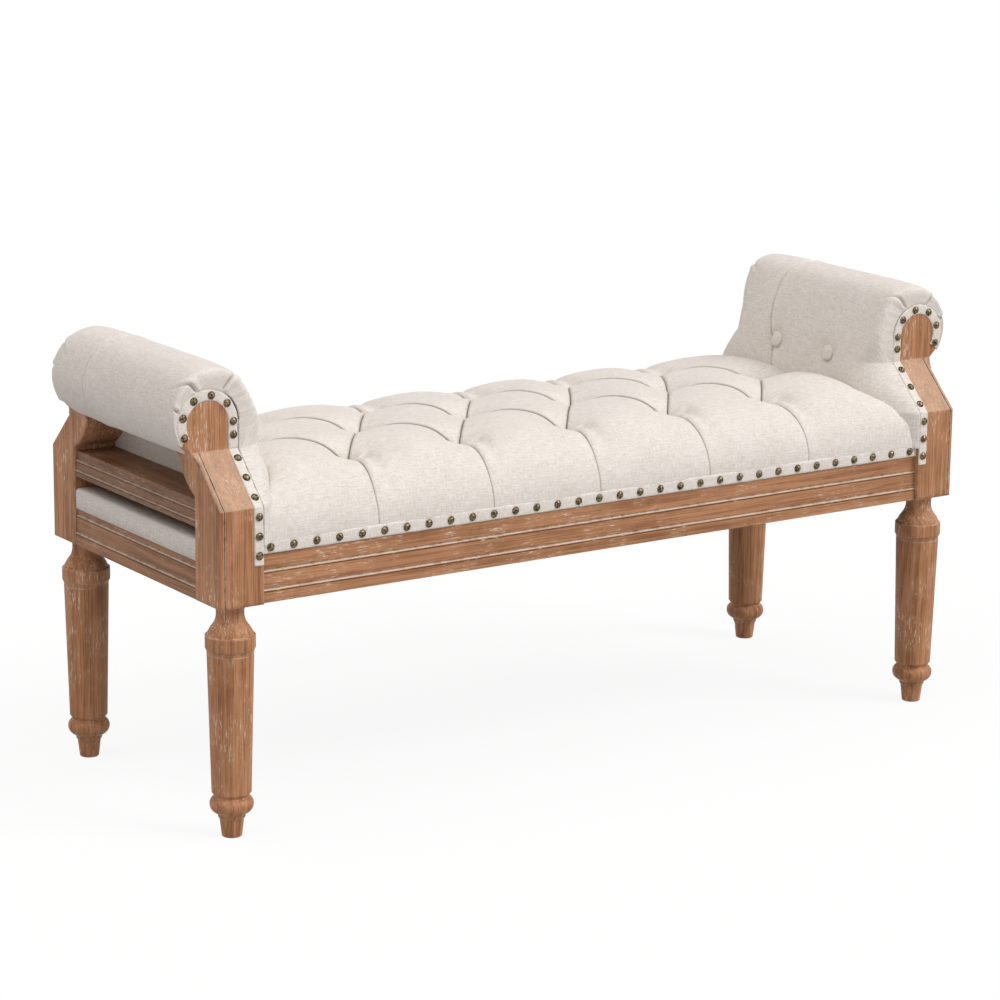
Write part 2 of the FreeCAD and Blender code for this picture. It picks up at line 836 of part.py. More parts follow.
def arm_pad():
    """Padding and fabric of one arm: the inner pad and the roll over its top."""
    pad = inner_pad().fuse(roll())
    start = post_in - arm_board_thickness
    board_room = arm_outline(start - joint_fit, arm_board_inset - fit, rail_top,
                             arm_board_top + fit)
    pad = pad.cut(board_room.extrude(vec(arm_board_thickness + joint_fit, 0, 0)))
    room = post_blank(fit)
    pad = pad.cut(room).cut(place_at(room, 1, -1))
    pad = pad.cut(rod(2 * (core_radius + fit), vec(head_x, -head_back, head_z),
                      vec(head_x, head_back, head_z)))
    return pad.cut(group([button_dimple(place) for place in button_places()]))


def back_cloth():
    """Fabric over the outer side of the arm board, between the posts."""
    def place(y, z):
        return vec(post_in, y, z)
    wide = post_back - fit
    narrow = head_back - fit
    low = board_top + end_skin + fit
    curve_low = back_curve_start - back_curve_bulge
    curve_high = back_curve_end - back_curve_bulge * 2
    shape = outline(place,
                    (-wide, low), (wide, low), (wide, curve_low), (narrow, curve_high),
                    (narrow, cloth_top), (-narrow, cloth_top), (-narrow, curve_high),
                    (-wide, curve_low))
    return shape.extrude(vec(back_cloth_thickness, 0, 0))


def strip_view():
    """Front view of the nailed strip: up the inner edge and round over the head."""
    outer = head_radius
    inner = head_radius - strip_width
    low_out = on_circle(head_x, head_z, outer, -strip_end_angle)
    low_in = on_circle(head_x, head_z, inner, -strip_end_angle)
    return outline(on_xz,
                   (post_in, strip_low), (post_in + strip_width, strip_low),
                   (post_in + strip_width, head_z),
                   (on_circle(head_x, head_z, inner, 135), (head_x, head_z + inner)),
                   (on_circle(head_x, head_z, inner, 30), low_in), low_out,
                   (on_circle(head_x, head_z, outer, 30), (head_x, head_z + outer)),
                   (on_circle(head_x, head_z, outer, 135), (post_in, head_z)))


def nail_strip():
    ribbon = along_x(front_ribbon(0, band_thickness, strip_low, head_height + over),
                     post_in - over, post_out + head_radius)
    return ribbon.common(along_y(strip_view(), 0, face_front + nail_rise))


def strip_nail_places():
    """Points and normals along the middle of the strip, evenly spaced in each stretch."""
    x = post_in + strip_width / 2
    radius = head_radius - strip_width / 2
    out = band_thickness
    lift = out * slope_miter
    slope = math.pi / 2 - slope_turn
    stretches = ((vec(x, face_front + out, strip_low), vec(x, face_front + out, slope_start + lift),
                  vec(0, 1, 0), post_nail_count),
                 (vec(x, face_front + out, slope_start + lift),
                  vec(x, head_front + out, slope_end + lift),
                  vec(0, math.sin(slope), math.cos(slope)), slope_nail_count),
                 (vec(x, head_front + out, slope_end + lift), vec(x, head_front + out, head_z),
                  vec(0, 1, 0), upright_nail_count))
    places = []
    for start, end, normal, count in stretches:
        for number in range(count):
            places.append((start + (end - start) * ((number + 0.5) / count), normal))
    turn = 180 + strip_end_angle - head_nail_margin
    for number in range(head_nail_count):
        a, b = on_circle(head_x, head_z, radius, 180 - turn * number / (head_nail_count - 1))
        places.append((vec(a, head_front + out, b), vec(0, 1, 0)))
    return places


def arms():
    strip = nail_strip()
    nails = group([nail(*place) for place in strip_nail_places()])
    for side, side_sign in sides.items():
        for end, end_sign in ends.items():
            save("arm_strip_%s_%s" % (end, side), place_at(strip, side_sign, end_sign))
            save("arm_nails_%s_%s" % (end, side), place_at(nails, side_sign, end_sign))
        save("arm_board_" + side, place_at(arm_board(), side_sign, 1))
        save("arm_core_" + side, place_at(core(), side_sign, 1))
        save("arm_pad_" + side, place_at(arm_pad(), side_sign, 1))
        save("arm_back_cloth_" + side, place_at(back_cloth(), side_sign, 1))
        buttons = group([arm_button(place) for place in button_places()])
        save("arm_buttons_" + side, place_at(buttons, side_sign, 1))


os.makedirs("parts", exist_ok=True)
frame()
hardware()
seat()
arms()
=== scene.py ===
import math

import bpy
import numpy as np
from mathutils import Matrix, Vector


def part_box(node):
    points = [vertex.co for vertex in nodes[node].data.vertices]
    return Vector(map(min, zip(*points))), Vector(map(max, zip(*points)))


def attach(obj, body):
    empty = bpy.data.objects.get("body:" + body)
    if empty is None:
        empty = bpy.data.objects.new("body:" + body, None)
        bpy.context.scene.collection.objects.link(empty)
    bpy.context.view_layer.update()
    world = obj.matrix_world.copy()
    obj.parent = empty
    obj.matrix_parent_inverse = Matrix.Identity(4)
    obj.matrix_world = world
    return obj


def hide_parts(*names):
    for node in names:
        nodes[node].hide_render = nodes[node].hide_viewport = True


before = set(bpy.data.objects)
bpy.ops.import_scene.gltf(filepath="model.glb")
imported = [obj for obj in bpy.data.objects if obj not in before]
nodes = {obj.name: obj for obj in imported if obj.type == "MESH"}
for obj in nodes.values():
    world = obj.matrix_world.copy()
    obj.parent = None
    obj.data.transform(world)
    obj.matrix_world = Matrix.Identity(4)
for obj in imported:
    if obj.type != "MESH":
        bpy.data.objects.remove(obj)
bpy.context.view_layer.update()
mm = 0.001
print("frame loaded:", len(nodes), "nodes")


# Shader maths

class Wire:  # one output of a node; an expression on wires adds Math nodes
    def __init__(self, tree, socket):
        self.tree, self.socket = tree, socket

    def __add__(self, other):
        return maths("ADD", self, other)

    def __radd__(self, other):
        return maths("ADD", other, self)

    def __sub__(self, other):
        return maths("SUBTRACT", self, other)

    def __rsub__(self, other):
        return maths("SUBTRACT", other, self)

    def __mul__(self, other):
        return maths("MULTIPLY", self, other)

    def __rmul__(self, other):
        return maths("MULTIPLY", other, self)

    def __pow__(self, other):
        return maths("POWER", self, other)


def plug(tree, value, socket):
    if isinstance(value, Wire):
        tree.links.new(value.socket, socket)
    else:
        socket.default_value = value


def maths(operation, *values):  # one Math node; at least one value is a wire
    tree = next(value.tree for value in values if isinstance(value, Wire))
    step = tree.nodes.new("ShaderNodeMath")
    step.operation = operation
    for place, value in enumerate(values):
        plug(tree, value, step.inputs[place])
    return Wire(tree, step.outputs[0])


class Finish:  # a material, or the world, and the nodes in it
    def __init__(self, name, world=None):
        self.material = world or bpy.data.materials.new(name)
        self.material.use_nodes = True
        self.tree = self.material.node_tree
        self.tree.nodes.clear()

    def node(self, kind, settings, sockets, output=0):
        made = self.tree.nodes.new(kind)
        for name, value in settings.items():
            setattr(made, name, value)
        for name, value in sockets.items():
            plug(self.tree, value, made.inputs[name])
        return Wire(self.tree, made.outputs[output])

    def place(self):  # metres in the bench's own frame
        return self.node("ShaderNodeTexCoord", {}, {}, output="Object")

    def cloth(self):  # metres along the weave of a fabric piece
        return self.node("ShaderNodeUVMap", {"uv_map": "cloth"}, {})

    def stretch(self, vector, factors):
        return self.node("ShaderNodeVectorMath", {"operation": "MULTIPLY"}, {0: vector, 1: factors})

    def noise(self, vector, scale, detail=2.0, roughness=0.5):
        return self.node("ShaderNodeTexNoise", {},
                         {"Vector": vector, "Scale": scale, "Detail": detail, "Roughness": roughness})

    def fade(self, value, low, high):  # 0 below low, 1 above high
        return self.node("ShaderNodeMapRange", {"interpolation_type": "SMOOTHSTEP"},
                         {"Value": value, "From Min": low, "From Max": high})

    def mix(self, share, first, second):
        return self.node("ShaderNodeMix", {"data_type": "RGBA"},
                         {0: share, 6: (*first, 1.0) if isinstance(first, tuple) else first,
                          7: (*second, 1.0) if isinstance(second, tuple) else second}, output=2)

    def rounded(self, radius):  # the normal, as if edges were rounded
        return self.node("ShaderNodeBevel", {"samples": 6}, {"Radius": radius})

    def bump(self, height, distance, strength, **normal):
        return self.node("ShaderNodeBump", {},
                         {"Height": height, "Distance": distance, "Strength": strength, **normal})

    def seen(self):  # 1 for what the lens, metal or glass sees, 0 for light that falls on the bench
        camera, glossy, through = (self.node("ShaderNodeLightPath", {}, {}, output=ray)
                                   for ray in ("Is Camera Ray", "Is Glossy Ray", "Is Transmission Ray"))
        return maths("MAXIMUM", camera, maths("MAXIMUM", glossy, through))

    def output(self, shader, kind="ShaderNodeOutputMaterial"):
        end = self.tree.nodes.new(kind)
        self.tree.links.new(shader.socket, end.inputs["Surface"])
        return self.material

    def surface(self, sockets):
        return self.output(self.node("ShaderNodeBsdfPrincipled", {}, sockets))


# Finishes

limedWoodLook = {
    "brown": (0.505, 0.228, 0.108), "dark": (0.225, 0.086, 0.035), "light": (0.700, 0.350, 0.180),
    "evenness": 0.34, "wornPatches": 0.30, "fibreWidth": 7 * mm, "fibreLength": 200 * mm,
    "flatGrain": 2.4,  # how much wider upright fibres are from front to back
    "poreWidth": 1.2 * mm, "poreLength": 15 * mm, "poreDepth": 0.5 * mm,
    "limeAndSheen": (0.780, 0.640, 0.520), "limeInPores": 0.95, "limeOnEdges": 0.75, "edgeWidth": 2.0 * mm,
    "ledgeWidth": 2.0 * mm, "ledgeShadow": 0.8,
}


# grain is the axis that the fibres follow, ledges the heights of moulded steps, each with a line that is
# partly lime and partly painted highlight, over a painted shadow, rounding how far edges look rounded, and
# the up-facing sheen how much of the pale lime colour is painted on slopes that face up, as a painted
# highlight
def limedWood(name, grain, depth, ledges=(), rounding=2 * mm, slopeSheen=0.0):
    look = limedWoodLook
    f = Finish(name)
    place = f.place()

    def fibres(width, length, detail):
        sizes = [width, width * look["flatGrain"] if grain == 2 else width, width]
        sizes[grain] = length
        return f.noise(f.stretch(place, tuple(1 / size for size in sizes)), 1.0, detail, 0.6)

    def shade(colour, share=1.0):
        return tuple(c * depth * share for c in colour)

    tone = fibres(look["fibreWidth"], look["fibreLength"], 4.0)
    lines = fibres(look["poreWidth"] * 1.4, look["fibreLength"] * 0.5, 2.0)
    pore = fibres(look["poreWidth"], look["poreLength"], 2.0)
    patches = f.noise(place, 17.0, 4.0, 0.6)
    colour = f.mix(f.fade(tone * 0.55 + lines * 0.45, 0.38, 0.62), shade(look["dark"]), shade(look["light"]))
    colour = f.mix(look["evenness"], colour, shade(look["brown"]))
    colour = f.mix(f.fade(patches, 0.38, 0.60) * look["wornPatches"], colour, shade(look["light"]))

    inPores = f.fade(pore, 0.57, 0.66) * f.fade(patches, 0.48, 0.62)
    flat = f.node("ShaderNodeNewGeometry", {}, {}, output="Normal")
    facing = f.node("ShaderNodeVectorMath", {"operation": "DOT_PRODUCT"},
                    {0: f.rounded(look["edgeWidth"]), 1: flat}, output="Value")
    broken = f.fade(f.noise(place, 90.0, 3.0), 0.36, 0.54)
    onEdges = f.fade(1 - facing, 0.012, 0.12) * broken
    limeAndSheen = maths("MAXIMUM", inPores * look["limeInPores"], onEdges * look["limeOnEdges"])
    height = f.node("ShaderNodeSeparateXYZ", {}, {0: place}, output=2)
    # painted shadow just below each ledge, and on its edge a pale line that is partly lime and partly painted
    # highlight
    for ledge in ledges:
        toLine = maths("ABSOLUTE", height - ledge)
        toShadow = maths("ABSOLUTE", height - (ledge - look["ledgeWidth"] * 1.3))
        shadow = 1 - f.fade(toShadow, 0.2 * mm, look["ledgeWidth"] * 0.8)
        colour = f.mix(shadow * look["ledgeShadow"], colour, shade(look["dark"], 0.4))
        line = 1 - f.fade(toLine, 0.3 * mm, look["ledgeWidth"])
        limeAndSheen = maths("MAXIMUM", limeAndSheen, line * (broken * 0.40 + 0.50))
    # painted highlight: pale lime colour on slopes that face up, where the light from above glances off them
    upward = f.node("ShaderNodeSeparateXYZ", {}, {0: flat}, output=2)
    limeAndSheen = maths("MAXIMUM", limeAndSheen, f.fade(upward, 0.2, 0.6) * slopeSheen)
    limeAndSheen = limeAndSheen * min(1.0, depth * 1.25)  # dark wood shows less of it
    colour = f.mix(limeAndSheen, colour, look["limeAndSheen"])
    relief = tone * 0.25 + lines * 0.5 - pore * 0.5
    return f.surface({"Base Color": colour, "Roughness": 0.44 + 0.14 * lines + 0.20 * limeAndSheen,
                      "Specular IOR Level": 0.22,
                      "Normal": f.bump(relief, look["poreDepth"], 0.7, Normal=f.rounded(rounding))})


linenLook = {
    "warm": (0.600, 0.535, 0.470), "pale": (0.875, 0.828, 0.790), "paintedCreaseShade": (0.200, 0.155, 0.118),
    "yarn": 0.95 * mm, "slub": 13 * mm, "yarnHeight": 0.30 * mm,
}


def linen(name, brightness=1.0):  # pieces carry an attribute that paints shade into the depth of their creases
    look = linenLook
    f = Finish(name)
    cloth = f.cloth()

    def yarns(across, along):
        return f.noise(f.stretch(cloth, (1 / across, 1 / along, 1.0)), 1.0, 2.0, 0.65)

    weft = yarns(look["yarn"], look["slub"])
    warp = yarns(look["slub"], look["yarn"])
    thick = yarns(look["slub"] * 3, look["yarn"] * 2.2)
    weave = f.fade(weft, 0.30, 0.70) * 0.42 + f.fade(warp, 0.30, 0.70) * 0.42
    weave = weave + f.fade(thick, 0.35, 0.65) * 0.16
    cloudy = f.noise(cloth, 16.0, 4.0, 0.6)
    warm = tuple(c * brightness for c in look["warm"])
    pale = tuple(c * brightness for c in look["pale"])
    colour = f.mix(weave * 1.15 + cloudy * 0.40 - 0.18, warm, pale)
    paintedCreaseShade = f.node("ShaderNodeAttribute", {"attribute_name": "paintedCreaseShade"}, {}, output="Fac")
    # painted shade: darker where creases, tufts and button dimples would fall into shadow
    colour = f.mix(paintedCreaseShade ** 1.35, colour, look["paintedCreaseShade"])
    return f.surface({"Base Color": colour, "Roughness": 0.92, "Sheen Weight": 0.20, "Sheen Roughness": 0.5,
                      "Specular IOR Level": 0.2, "Normal": f.bump(weave, look["yarnHeight"], 0.8)})


bronzeLook = {"worn": (0.250, 0.190, 0.110), "dark": (0.028, 0.020, 0.013)}


def bronze():
    f = Finish("antique_bronze")
    tarnish = f.fade(f.noise(f.place(), 380.0, 3.0, 0.6), 0.36, 0.66)
    colour = f.mix(tarnish, bronzeLook["dark"], bronzeLook["worn"])
    return f.surface({"Base Color": colour, "Metallic": 1.0, "Roughness": 0.40 - 0.12 * tarnish,
                      "Normal": f.bump(tarnish, 0.2 * mm, 0.5)})


def plainFinish(name, colour, other, scale, roughness, metallic=0.0, stretch=(1.0, 1.0, 1.0)):
    f = Finish(name)
    speck = f.noise(f.stretch(f.place(), stretch), scale, 3.0, 0.6)
    return f.surface({"Base Color": f.mix(f.fade(speck, 0.35, 0.65), colour, other), "Roughness": roughness,
                      "Metallic": metallic, "Normal": f.bump(speck, 0.3 * mm, 0.5)})


railLedges = (330 * mm, 354.5 * mm)
armRailLedges = (417.5 * mm, 431 * mm)
finishes = {
    "leg": limedWood("limed_wood_leg", 2, 0.84),
    "post": limedWood("limed_wood_post", 2, 0.83, rounding=7 * mm, slopeSheen=0.26),
    "lengthwise": limedWood("limed_wood_lengthwise", 0, 0.80, railLedges),
    "crosswise": limedWood("limed_wood_crosswise", 1, 0.62, railLedges),
    "armRail": limedWood("limed_wood_arm_rail", 1, 0.42, armRailLedges),
    "linen": linen("linen"),
    "tape": linen("linen_tape", 1.04),
    "lip": linen("linen_lip", 0.93),
    "bronze": bronze(),
    "inner": plainFinish("inner_wood", (0.52, 0.38, 0.22), (0.62, 0.47, 0.29), 8.0, 0.7, stretch=(1, 6, 6)),
    "plywood": plainFinish("plywood", (0.55, 0.42, 0.26), (0.66, 0.53, 0.36), 6.0, 0.7, stretch=(1, 6, 40)),
    "foam": plainFinish("foam", (0.80, 0.76, 0.60), (0.86, 0.82, 0.68), 900.0, 0.95),
    "steel": plainFinish("zinc_steel", (0.50, 0.50, 0.49), (0.62, 0.62, 0.60), 300.0, 0.38, 1.0),
    "twine": plainFinish("twine", (0.60, 0.52, 0.38), (0.72, 0.64, 0.50), 1500.0, 0.9),
    "underCloth": plainFinish("black_cloth", (0.012, 0.012, 0.013), (0.030, 0.030, 0.032), 1200.0, 0.95),
}
nodeFinishes = {  # the first that fits a node's name counts
    "screws": "steel", "arm_rail": "armRail", "leg_": "leg", "post_": "post", "rail_front": "lengthwise",
    "rail_back": "lengthwise", "rail_left": "crosswise", "rail_right": "crosswise", "arm_nails": "bronze",
    "seat_nails": "bronze", "arm_board": "plywood", "seat_board": "plywood", "arm_core": "inner",
    "corner_blocks": "inner", "seat_braces": "inner", "frame_dowels": "inner", "seat_foam": "foam",
    "hanger_bolts": "steel", "tuft_ties": "twine", "dust_cloth": "underCloth",
}
for nodeName, node in nodes.items():
    found = [finish for part, finish in nodeFinishes.items() if part in nodeName]
    if found:
        for slot in node.material_slots:
            slot.material = finishes[found[0]]
print("finishes made")


# Meshes from grids of points

# cloth is each point's place on the weave, the painted crease shade how dark each point is painted, and
# capsAt a middle point for each open end
def gridPiece(name, points, finish, closedRows=False, closedColumns=False, cloth=None, capsAt=None,
              paintedCreaseShade=None):
    rows, columns = points.shape[:2]
    index = np.arange(rows * columns).reshape(rows, columns)
    lower = index if closedRows else index[:-1]
    upper = np.roll(index, -1, axis=0) if closedRows else index[1:]
    left = lower if closedColumns else lower[:, :-1]
    right = np.roll(lower, -1, axis=1) if closedColumns else lower[:, 1:]
    upLeft = upper if closedColumns else upper[:, :-1]
    upRight = np.roll(upper, -1, axis=1) if closedColumns else upper[:, 1:]
    faces = np.stack([left, right, upRight, upLeft], axis=-1).reshape(-1, 4)
    if paintedCreaseShade is None:
        faces = faces.tolist()
    else:  # two triangles, split along whichever diagonal follows the crease
        dark = paintedCreaseShade.reshape(-1)[faces]
        swap = dark[:, 1] + dark[:, 3] > dark[:, 0] + dark[:, 2] + 1e-6
        faces = np.where(swap[:, None], np.roll(faces, -1, axis=1), faces)
        faces = np.concatenate([faces[:, [0, 1, 2]], faces[:, [0, 2, 3]]]).tolist()
    places = points.reshape(-1, 3)
    if capsAt is not None:
        for ring, middle, turned in ((index[0], capsAt[0], True), (index[-1], capsAt[1], False)):
            places = np.concatenate([places, [middle]])
            last = len(places) - 1
            for a, b in zip(ring.tolist(), np.roll(ring, -1).tolist()):
                faces.append([b, a, last] if turned else [a, b, last])
    mesh = bpy.data.meshes.new(name)
    mesh.from_pydata(places.tolist(), [], faces)
    extra = len(places) - rows * columns
    if cloth is not None:
        layer = mesh.uv_layers.new(name="cloth")
        corners = np.empty(len(mesh.loops), dtype=np.int32)
        mesh.loops.foreach_get("vertex_index", corners)
        flat = np.concatenate([cloth.reshape(-1, 2), np.zeros((extra, 2))])
        layer.data.foreach_set("uv", flat[corners].astype(np.float32).ravel())
    if paintedCreaseShade is not None:
        darkness = np.append(paintedCreaseShade.reshape(-1), np.zeros(extra)).astype(np.float32)
        mesh.attributes.new("paintedCreaseShade", "FLOAT", "POINT").data.foreach_set("value", darkness)
    mesh.shade_smooth()
    mesh.materials.append(finish)
    piece = bpy.data.objects.new(name, mesh)
    bpy.context.scene.collection.objects.link(piece)
    return piece


def ends(points):  # the middle of a grid's first and last row
    return points[0].mean(axis=0), points[-1].mean(axis=0)


def outward(points, closedColumns=False):  # unit normals of a grid of points
    along = np.gradient(points, axis=0)
    if closedColumns:
        around = np.roll(points, -1, axis=1) - np.roll(points, 1, axis=1)
    else:
        around = np.gradient(points, axis=1)
    normal = np.cross(around, along)
    return normal / np.maximum(np.linalg.norm(normal, axis=-1, keepdims=True), 1e-12)


def arcLength(points, axis):
    step = np.linalg.norm(np.diff(points, axis=axis), axis=-1)
    first = np.zeros_like(np.take(step, [0], axis=axis))
    return np.cumsum(np.concatenate([first, step], axis=axis), axis=axis)


def smooth(share):
    share = np.clip(share, 0, 1)
    return share * share * (3 - 2 * share)


def ridge(distance, width, power=2):  # 1 on a line, and nothing a few widths away
    return np.exp(-(distance / width) ** power)


def toSegment(x, y, start, end):  # distance from points to a straight line's stretch
    run = np.subtract(end, start)
    share = ((x - start[0]) * run[0] + (y - start[1]) * run[1]) / (run @ run)
    share = np.clip(share, 0, 1)
    return np.hypot(x - start[0] - share * run[0], y - start[1] - share * run[1])


def joined(name, pieces):  # several pieces as one
    bpy.ops.object.select_all(action="DESELECT")
    for piece in pieces:
        piece.select_set(True)
    bpy.context.view_layer.objects.active = pieces[0]
    bpy.ops.object.join()
    pieces[0].name = name
    bpy.ops.object.select_all(action="DESELECT")
    return pieces[0]


def linkPiece(piece, slotName, *replaced, fill=None, flat=None, held=None, restsOn=()):
    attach(piece, "root")
    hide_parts(*replaced)
    return piece


# Post outlines that the padding follows

postLow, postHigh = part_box("post_front_right")
stripLow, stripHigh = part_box("arm_strip_front_right")
headRadius = 44 * mm
post = {
    "inner": postLow.x, "front": -postLow.y, "slopeStart": 441 * mm, "slopeEnd": 505 * mm,
    "headX": postLow.x + headRadius, "headZ": postHigh.z - headRadius, "headFront": -stripHigh.y,
}


def postFace(z):  # how far the post's front face stands from the middle, at a height
    share = np.clip((z - post["slopeStart"]) / (post["slopeEnd"] - post["slopeStart"]), 0, 1)
    return post["front"] + (post["headFront"] - post["front"]) * share


# Seat cover

coverLow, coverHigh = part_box("seat_cover")
bandLow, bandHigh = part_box("seat_band_front")
seatLook = {
    "columns": 6, "margin": 52 * mm, "rowMargin": 101.5 * mm, "frontCurve": 4.2, "bulge": 1.2 * mm,
    "tuckedIn": 4 * mm, "backFall": 9.5 * mm, "fallOver": 110 * mm, "armRound": 46 * mm,
    "steps": 64,
    "pillow": 66 * mm, "pillowDepth": 11 * mm, "creaseWidth": 4 * mm, "creaseDepth": 4 * mm,
    "tuftWidth": 27 * mm, "tuftDepth": 22 * mm,
    # beside each front pleat a soft fold and a hollow: how far off, how wide and how high or deep
    "fold": (7 * mm, 4.5 * mm, 2.8 * mm), "hollow": (20 * mm, 10 * mm, 5.4 * mm), "foldFrom": 12 * mm,
    # pleats that run from front right to back left close high up, and the cloth behind them stands higher
    "closing": 0.6, "closingWidth": 24 * mm, "openAtTuft": 36 * mm, "closedDepth": 0.7,
    "lapRise": 1.3 * mm, "lapWidth": 14 * mm,
    # how far the tufts of each row stand off their even spacing, and how far the front pleats wander
    "frontShift": (0.0, 0.0, 1 * mm, -1 * mm, -10 * mm),
    "middleShift": (0.0, 4 * mm, 4 * mm, 6 * mm, 2 * mm, -9 * mm),
    "backShift": (0.0, 9 * mm, 9 * mm, -3 * mm, -15 * mm),
    "drift": (-15 * mm, -11 * mm, -13 * mm, -3 * mm, -4 * mm),
    # height of the seat where it meets each arm, at distances from the middle
    "armLine": ((0, 456), (12, 460), (30, 464), (50, 466), (90, 467), (130, 464.5), (150, 461.5), (170, 458),
                (190, 453), (200, 447.5), (210, 441), (220, 430), (225, 422), (228, 400), (228.5, 390)),
}
# darkness and width of the painted shade along each kind of crease and round the tufts
seatCreaseShade = {
    "line": (0.90, 1.1 * mm), "crossing": (1.0, 2.3 * mm), "soft": (0.14, 6 * mm), "tuft": (0.30, 15 * mm),
    "darkest": 0.97,
}
# plan of each arm's front corner: how far it reaches along the arm, and how much of its width it loses
cornerLook = {
    "reach": 80 * mm, "power": 1.3, "upperReach": 62 * mm, "upperPower": 1.8, "upperFrom": 440 * mm,
    "upperOver": 38 * mm, "lowShare": 0.86, "highShare": 0.72, "highFrom": 420 * mm, "highOver": 60 * mm,
    "edgePower": 8,
}
halfLength, halfDepth = coverHigh.x, coverHigh.y + seatLook["bulge"]
tuftSpacing = 2 * (halfLength - seatLook["margin"]) / (seatLook["columns"] - 1)
tuftRow = coverHigh.y - seatLook["rowMargin"]
middleTufts = [(k - (seatLook["columns"] - 1) / 2) * tuftSpacing for k in range(seatLook["columns"])]
outerTufts = [(k - (seatLook["columns"] - 2) / 2) * tuftSpacing for k in range(seatLook["columns"] - 1)]


def cornerCurve(t, share, power):
    return share * t ** power + (1 - share) * (1 - np.sqrt(1 - np.clip(t, 0, 1) ** cornerLook["edgePower"]))


def seatEnd(y):  # how far the seat reaches beside the arms, front corners included
    straight = post["front"] - 1 * mm - cornerLook["reach"]
    t = np.clip((np.abs(y) - straight) / cornerLook["reach"], 0, 1)
    wide = post["inner"] - coverHigh.x
    return coverHigh.x + 2 * mm + wide * cornerLook["lowShare"] * t ** cornerLook["power"]


def crownHeight(y):
    share = np.clip(1 - (np.abs(y) / halfDepth) ** seatLook["frontCurve"], 0, 1)
    return bandHigh.z + (coverHigh.z - bandHigh.z) * np.sqrt(share)


def seatPleats(frontLength):  # every pleat's two ends, in lengths along the bench and over the crown
    pleats = []
    for a in middleTufts:
        for b in outerTufts:
            if abs(a - b) < tuftSpacing * 0.6:
                pleats += [((a, 0), (b, tuftRow)), ((a, 0), (b, -tuftRow))]
    for side in (-1, 1):
        pleats.append(((side * middleTufts[-1], 0), (side * (halfLength + 20 * mm), 0)))
        for b in outerTufts:
            pleats.append(((b, side * tuftRow), (b, side * (tuftRow + frontLength + 50 * mm))))
    return pleats


def seatRelief(X, V, beyond, down, pleats):  # how far each point lies below the crown, and how much painted shade it gets in creases and round tufts
    look = seatLook
    gaps = [toSegment(X, V, start, end) for start, end in pleats]
    nearest = np.min(gaps, axis=0)
    distance = sum((gap + 0.2 * mm) ** -4 for gap in gaps) ** -0.25
    tufts = [(a, 0) for a in middleTufts] + [(b, s * tuftRow) for b in outerTufts for s in (-1, 1)]
    toTuft = np.min([np.hypot(X - tuftX, V - tuftV) for tuftX, tuftV in tufts], axis=0)
    toCrossing = np.full_like(X, np.inf)
    behind = np.zeros_like(X)
    for start, end in pleats:
        run = np.subtract(end, start)
        if run[0] * run[1] > -1e-4:
            continue
        gap = toSegment(X, V, start, end)
        toCrossing = np.minimum(toCrossing, gap)
        run = run * np.sign(run[1])
        beyondFold = ((X - start[0]) * run[1] - (V - start[1]) * run[0]) / np.hypot(*run)
        behind = np.maximum(behind, np.exp(-gap / look["lapWidth"]) * smooth(beyondFold / (3 * mm)))
    midway = 1 - ridge(toTuft, look["openAtTuft"])
    wide = np.clip(1 - distance / look["pillow"], 0, 1) ** 1.5
    wide = wide * (1 - look["closing"] * ridge(toCrossing, look["closingWidth"]) * midway)
    tight = 1 - np.sqrt(1 - np.clip(1 - nearest / look["creaseWidth"], 0, 1) ** 2)
    deep = 1 + look["closedDepth"] * (toCrossing < look["creaseWidth"]) * midway
    sink = (look["pillowDepth"] * wide + look["creaseDepth"] * tight * deep) * (1 - 0.82 * smooth(down))
    sink -= look["lapRise"] * behind * midway
    sink += look["tuftDepth"] * ridge(toTuft, look["tuftWidth"], 1.4)
    fading = smooth(beyond / look["foldFrom"]) * (1 - smooth(down * 1.1))
    for b in outerTufts:
        for (off, width, depth), sign in ((look["fold"], -1), (look["hollow"], 1)):
            sink += sign * depth * ridge(X - b - off, width) * fading

    def dark(kind, gap):
        darkness, width = seatCreaseShade[kind]
        return darkness * ridge(gap, width)

    # painted shade: dark along the pleats, a soft band beside them, and round each tuft
    paintedCreaseShade = np.maximum(dark("line", nearest) * (1 - 0.3 * down), dark("crossing", toCrossing) * (1 - down))
    paintedCreaseShade += dark("soft", nearest) * (1 - down) + dark("tuft", toTuft)
    return sink, np.clip(paintedCreaseShade, 0, seatCreaseShade["darkest"])


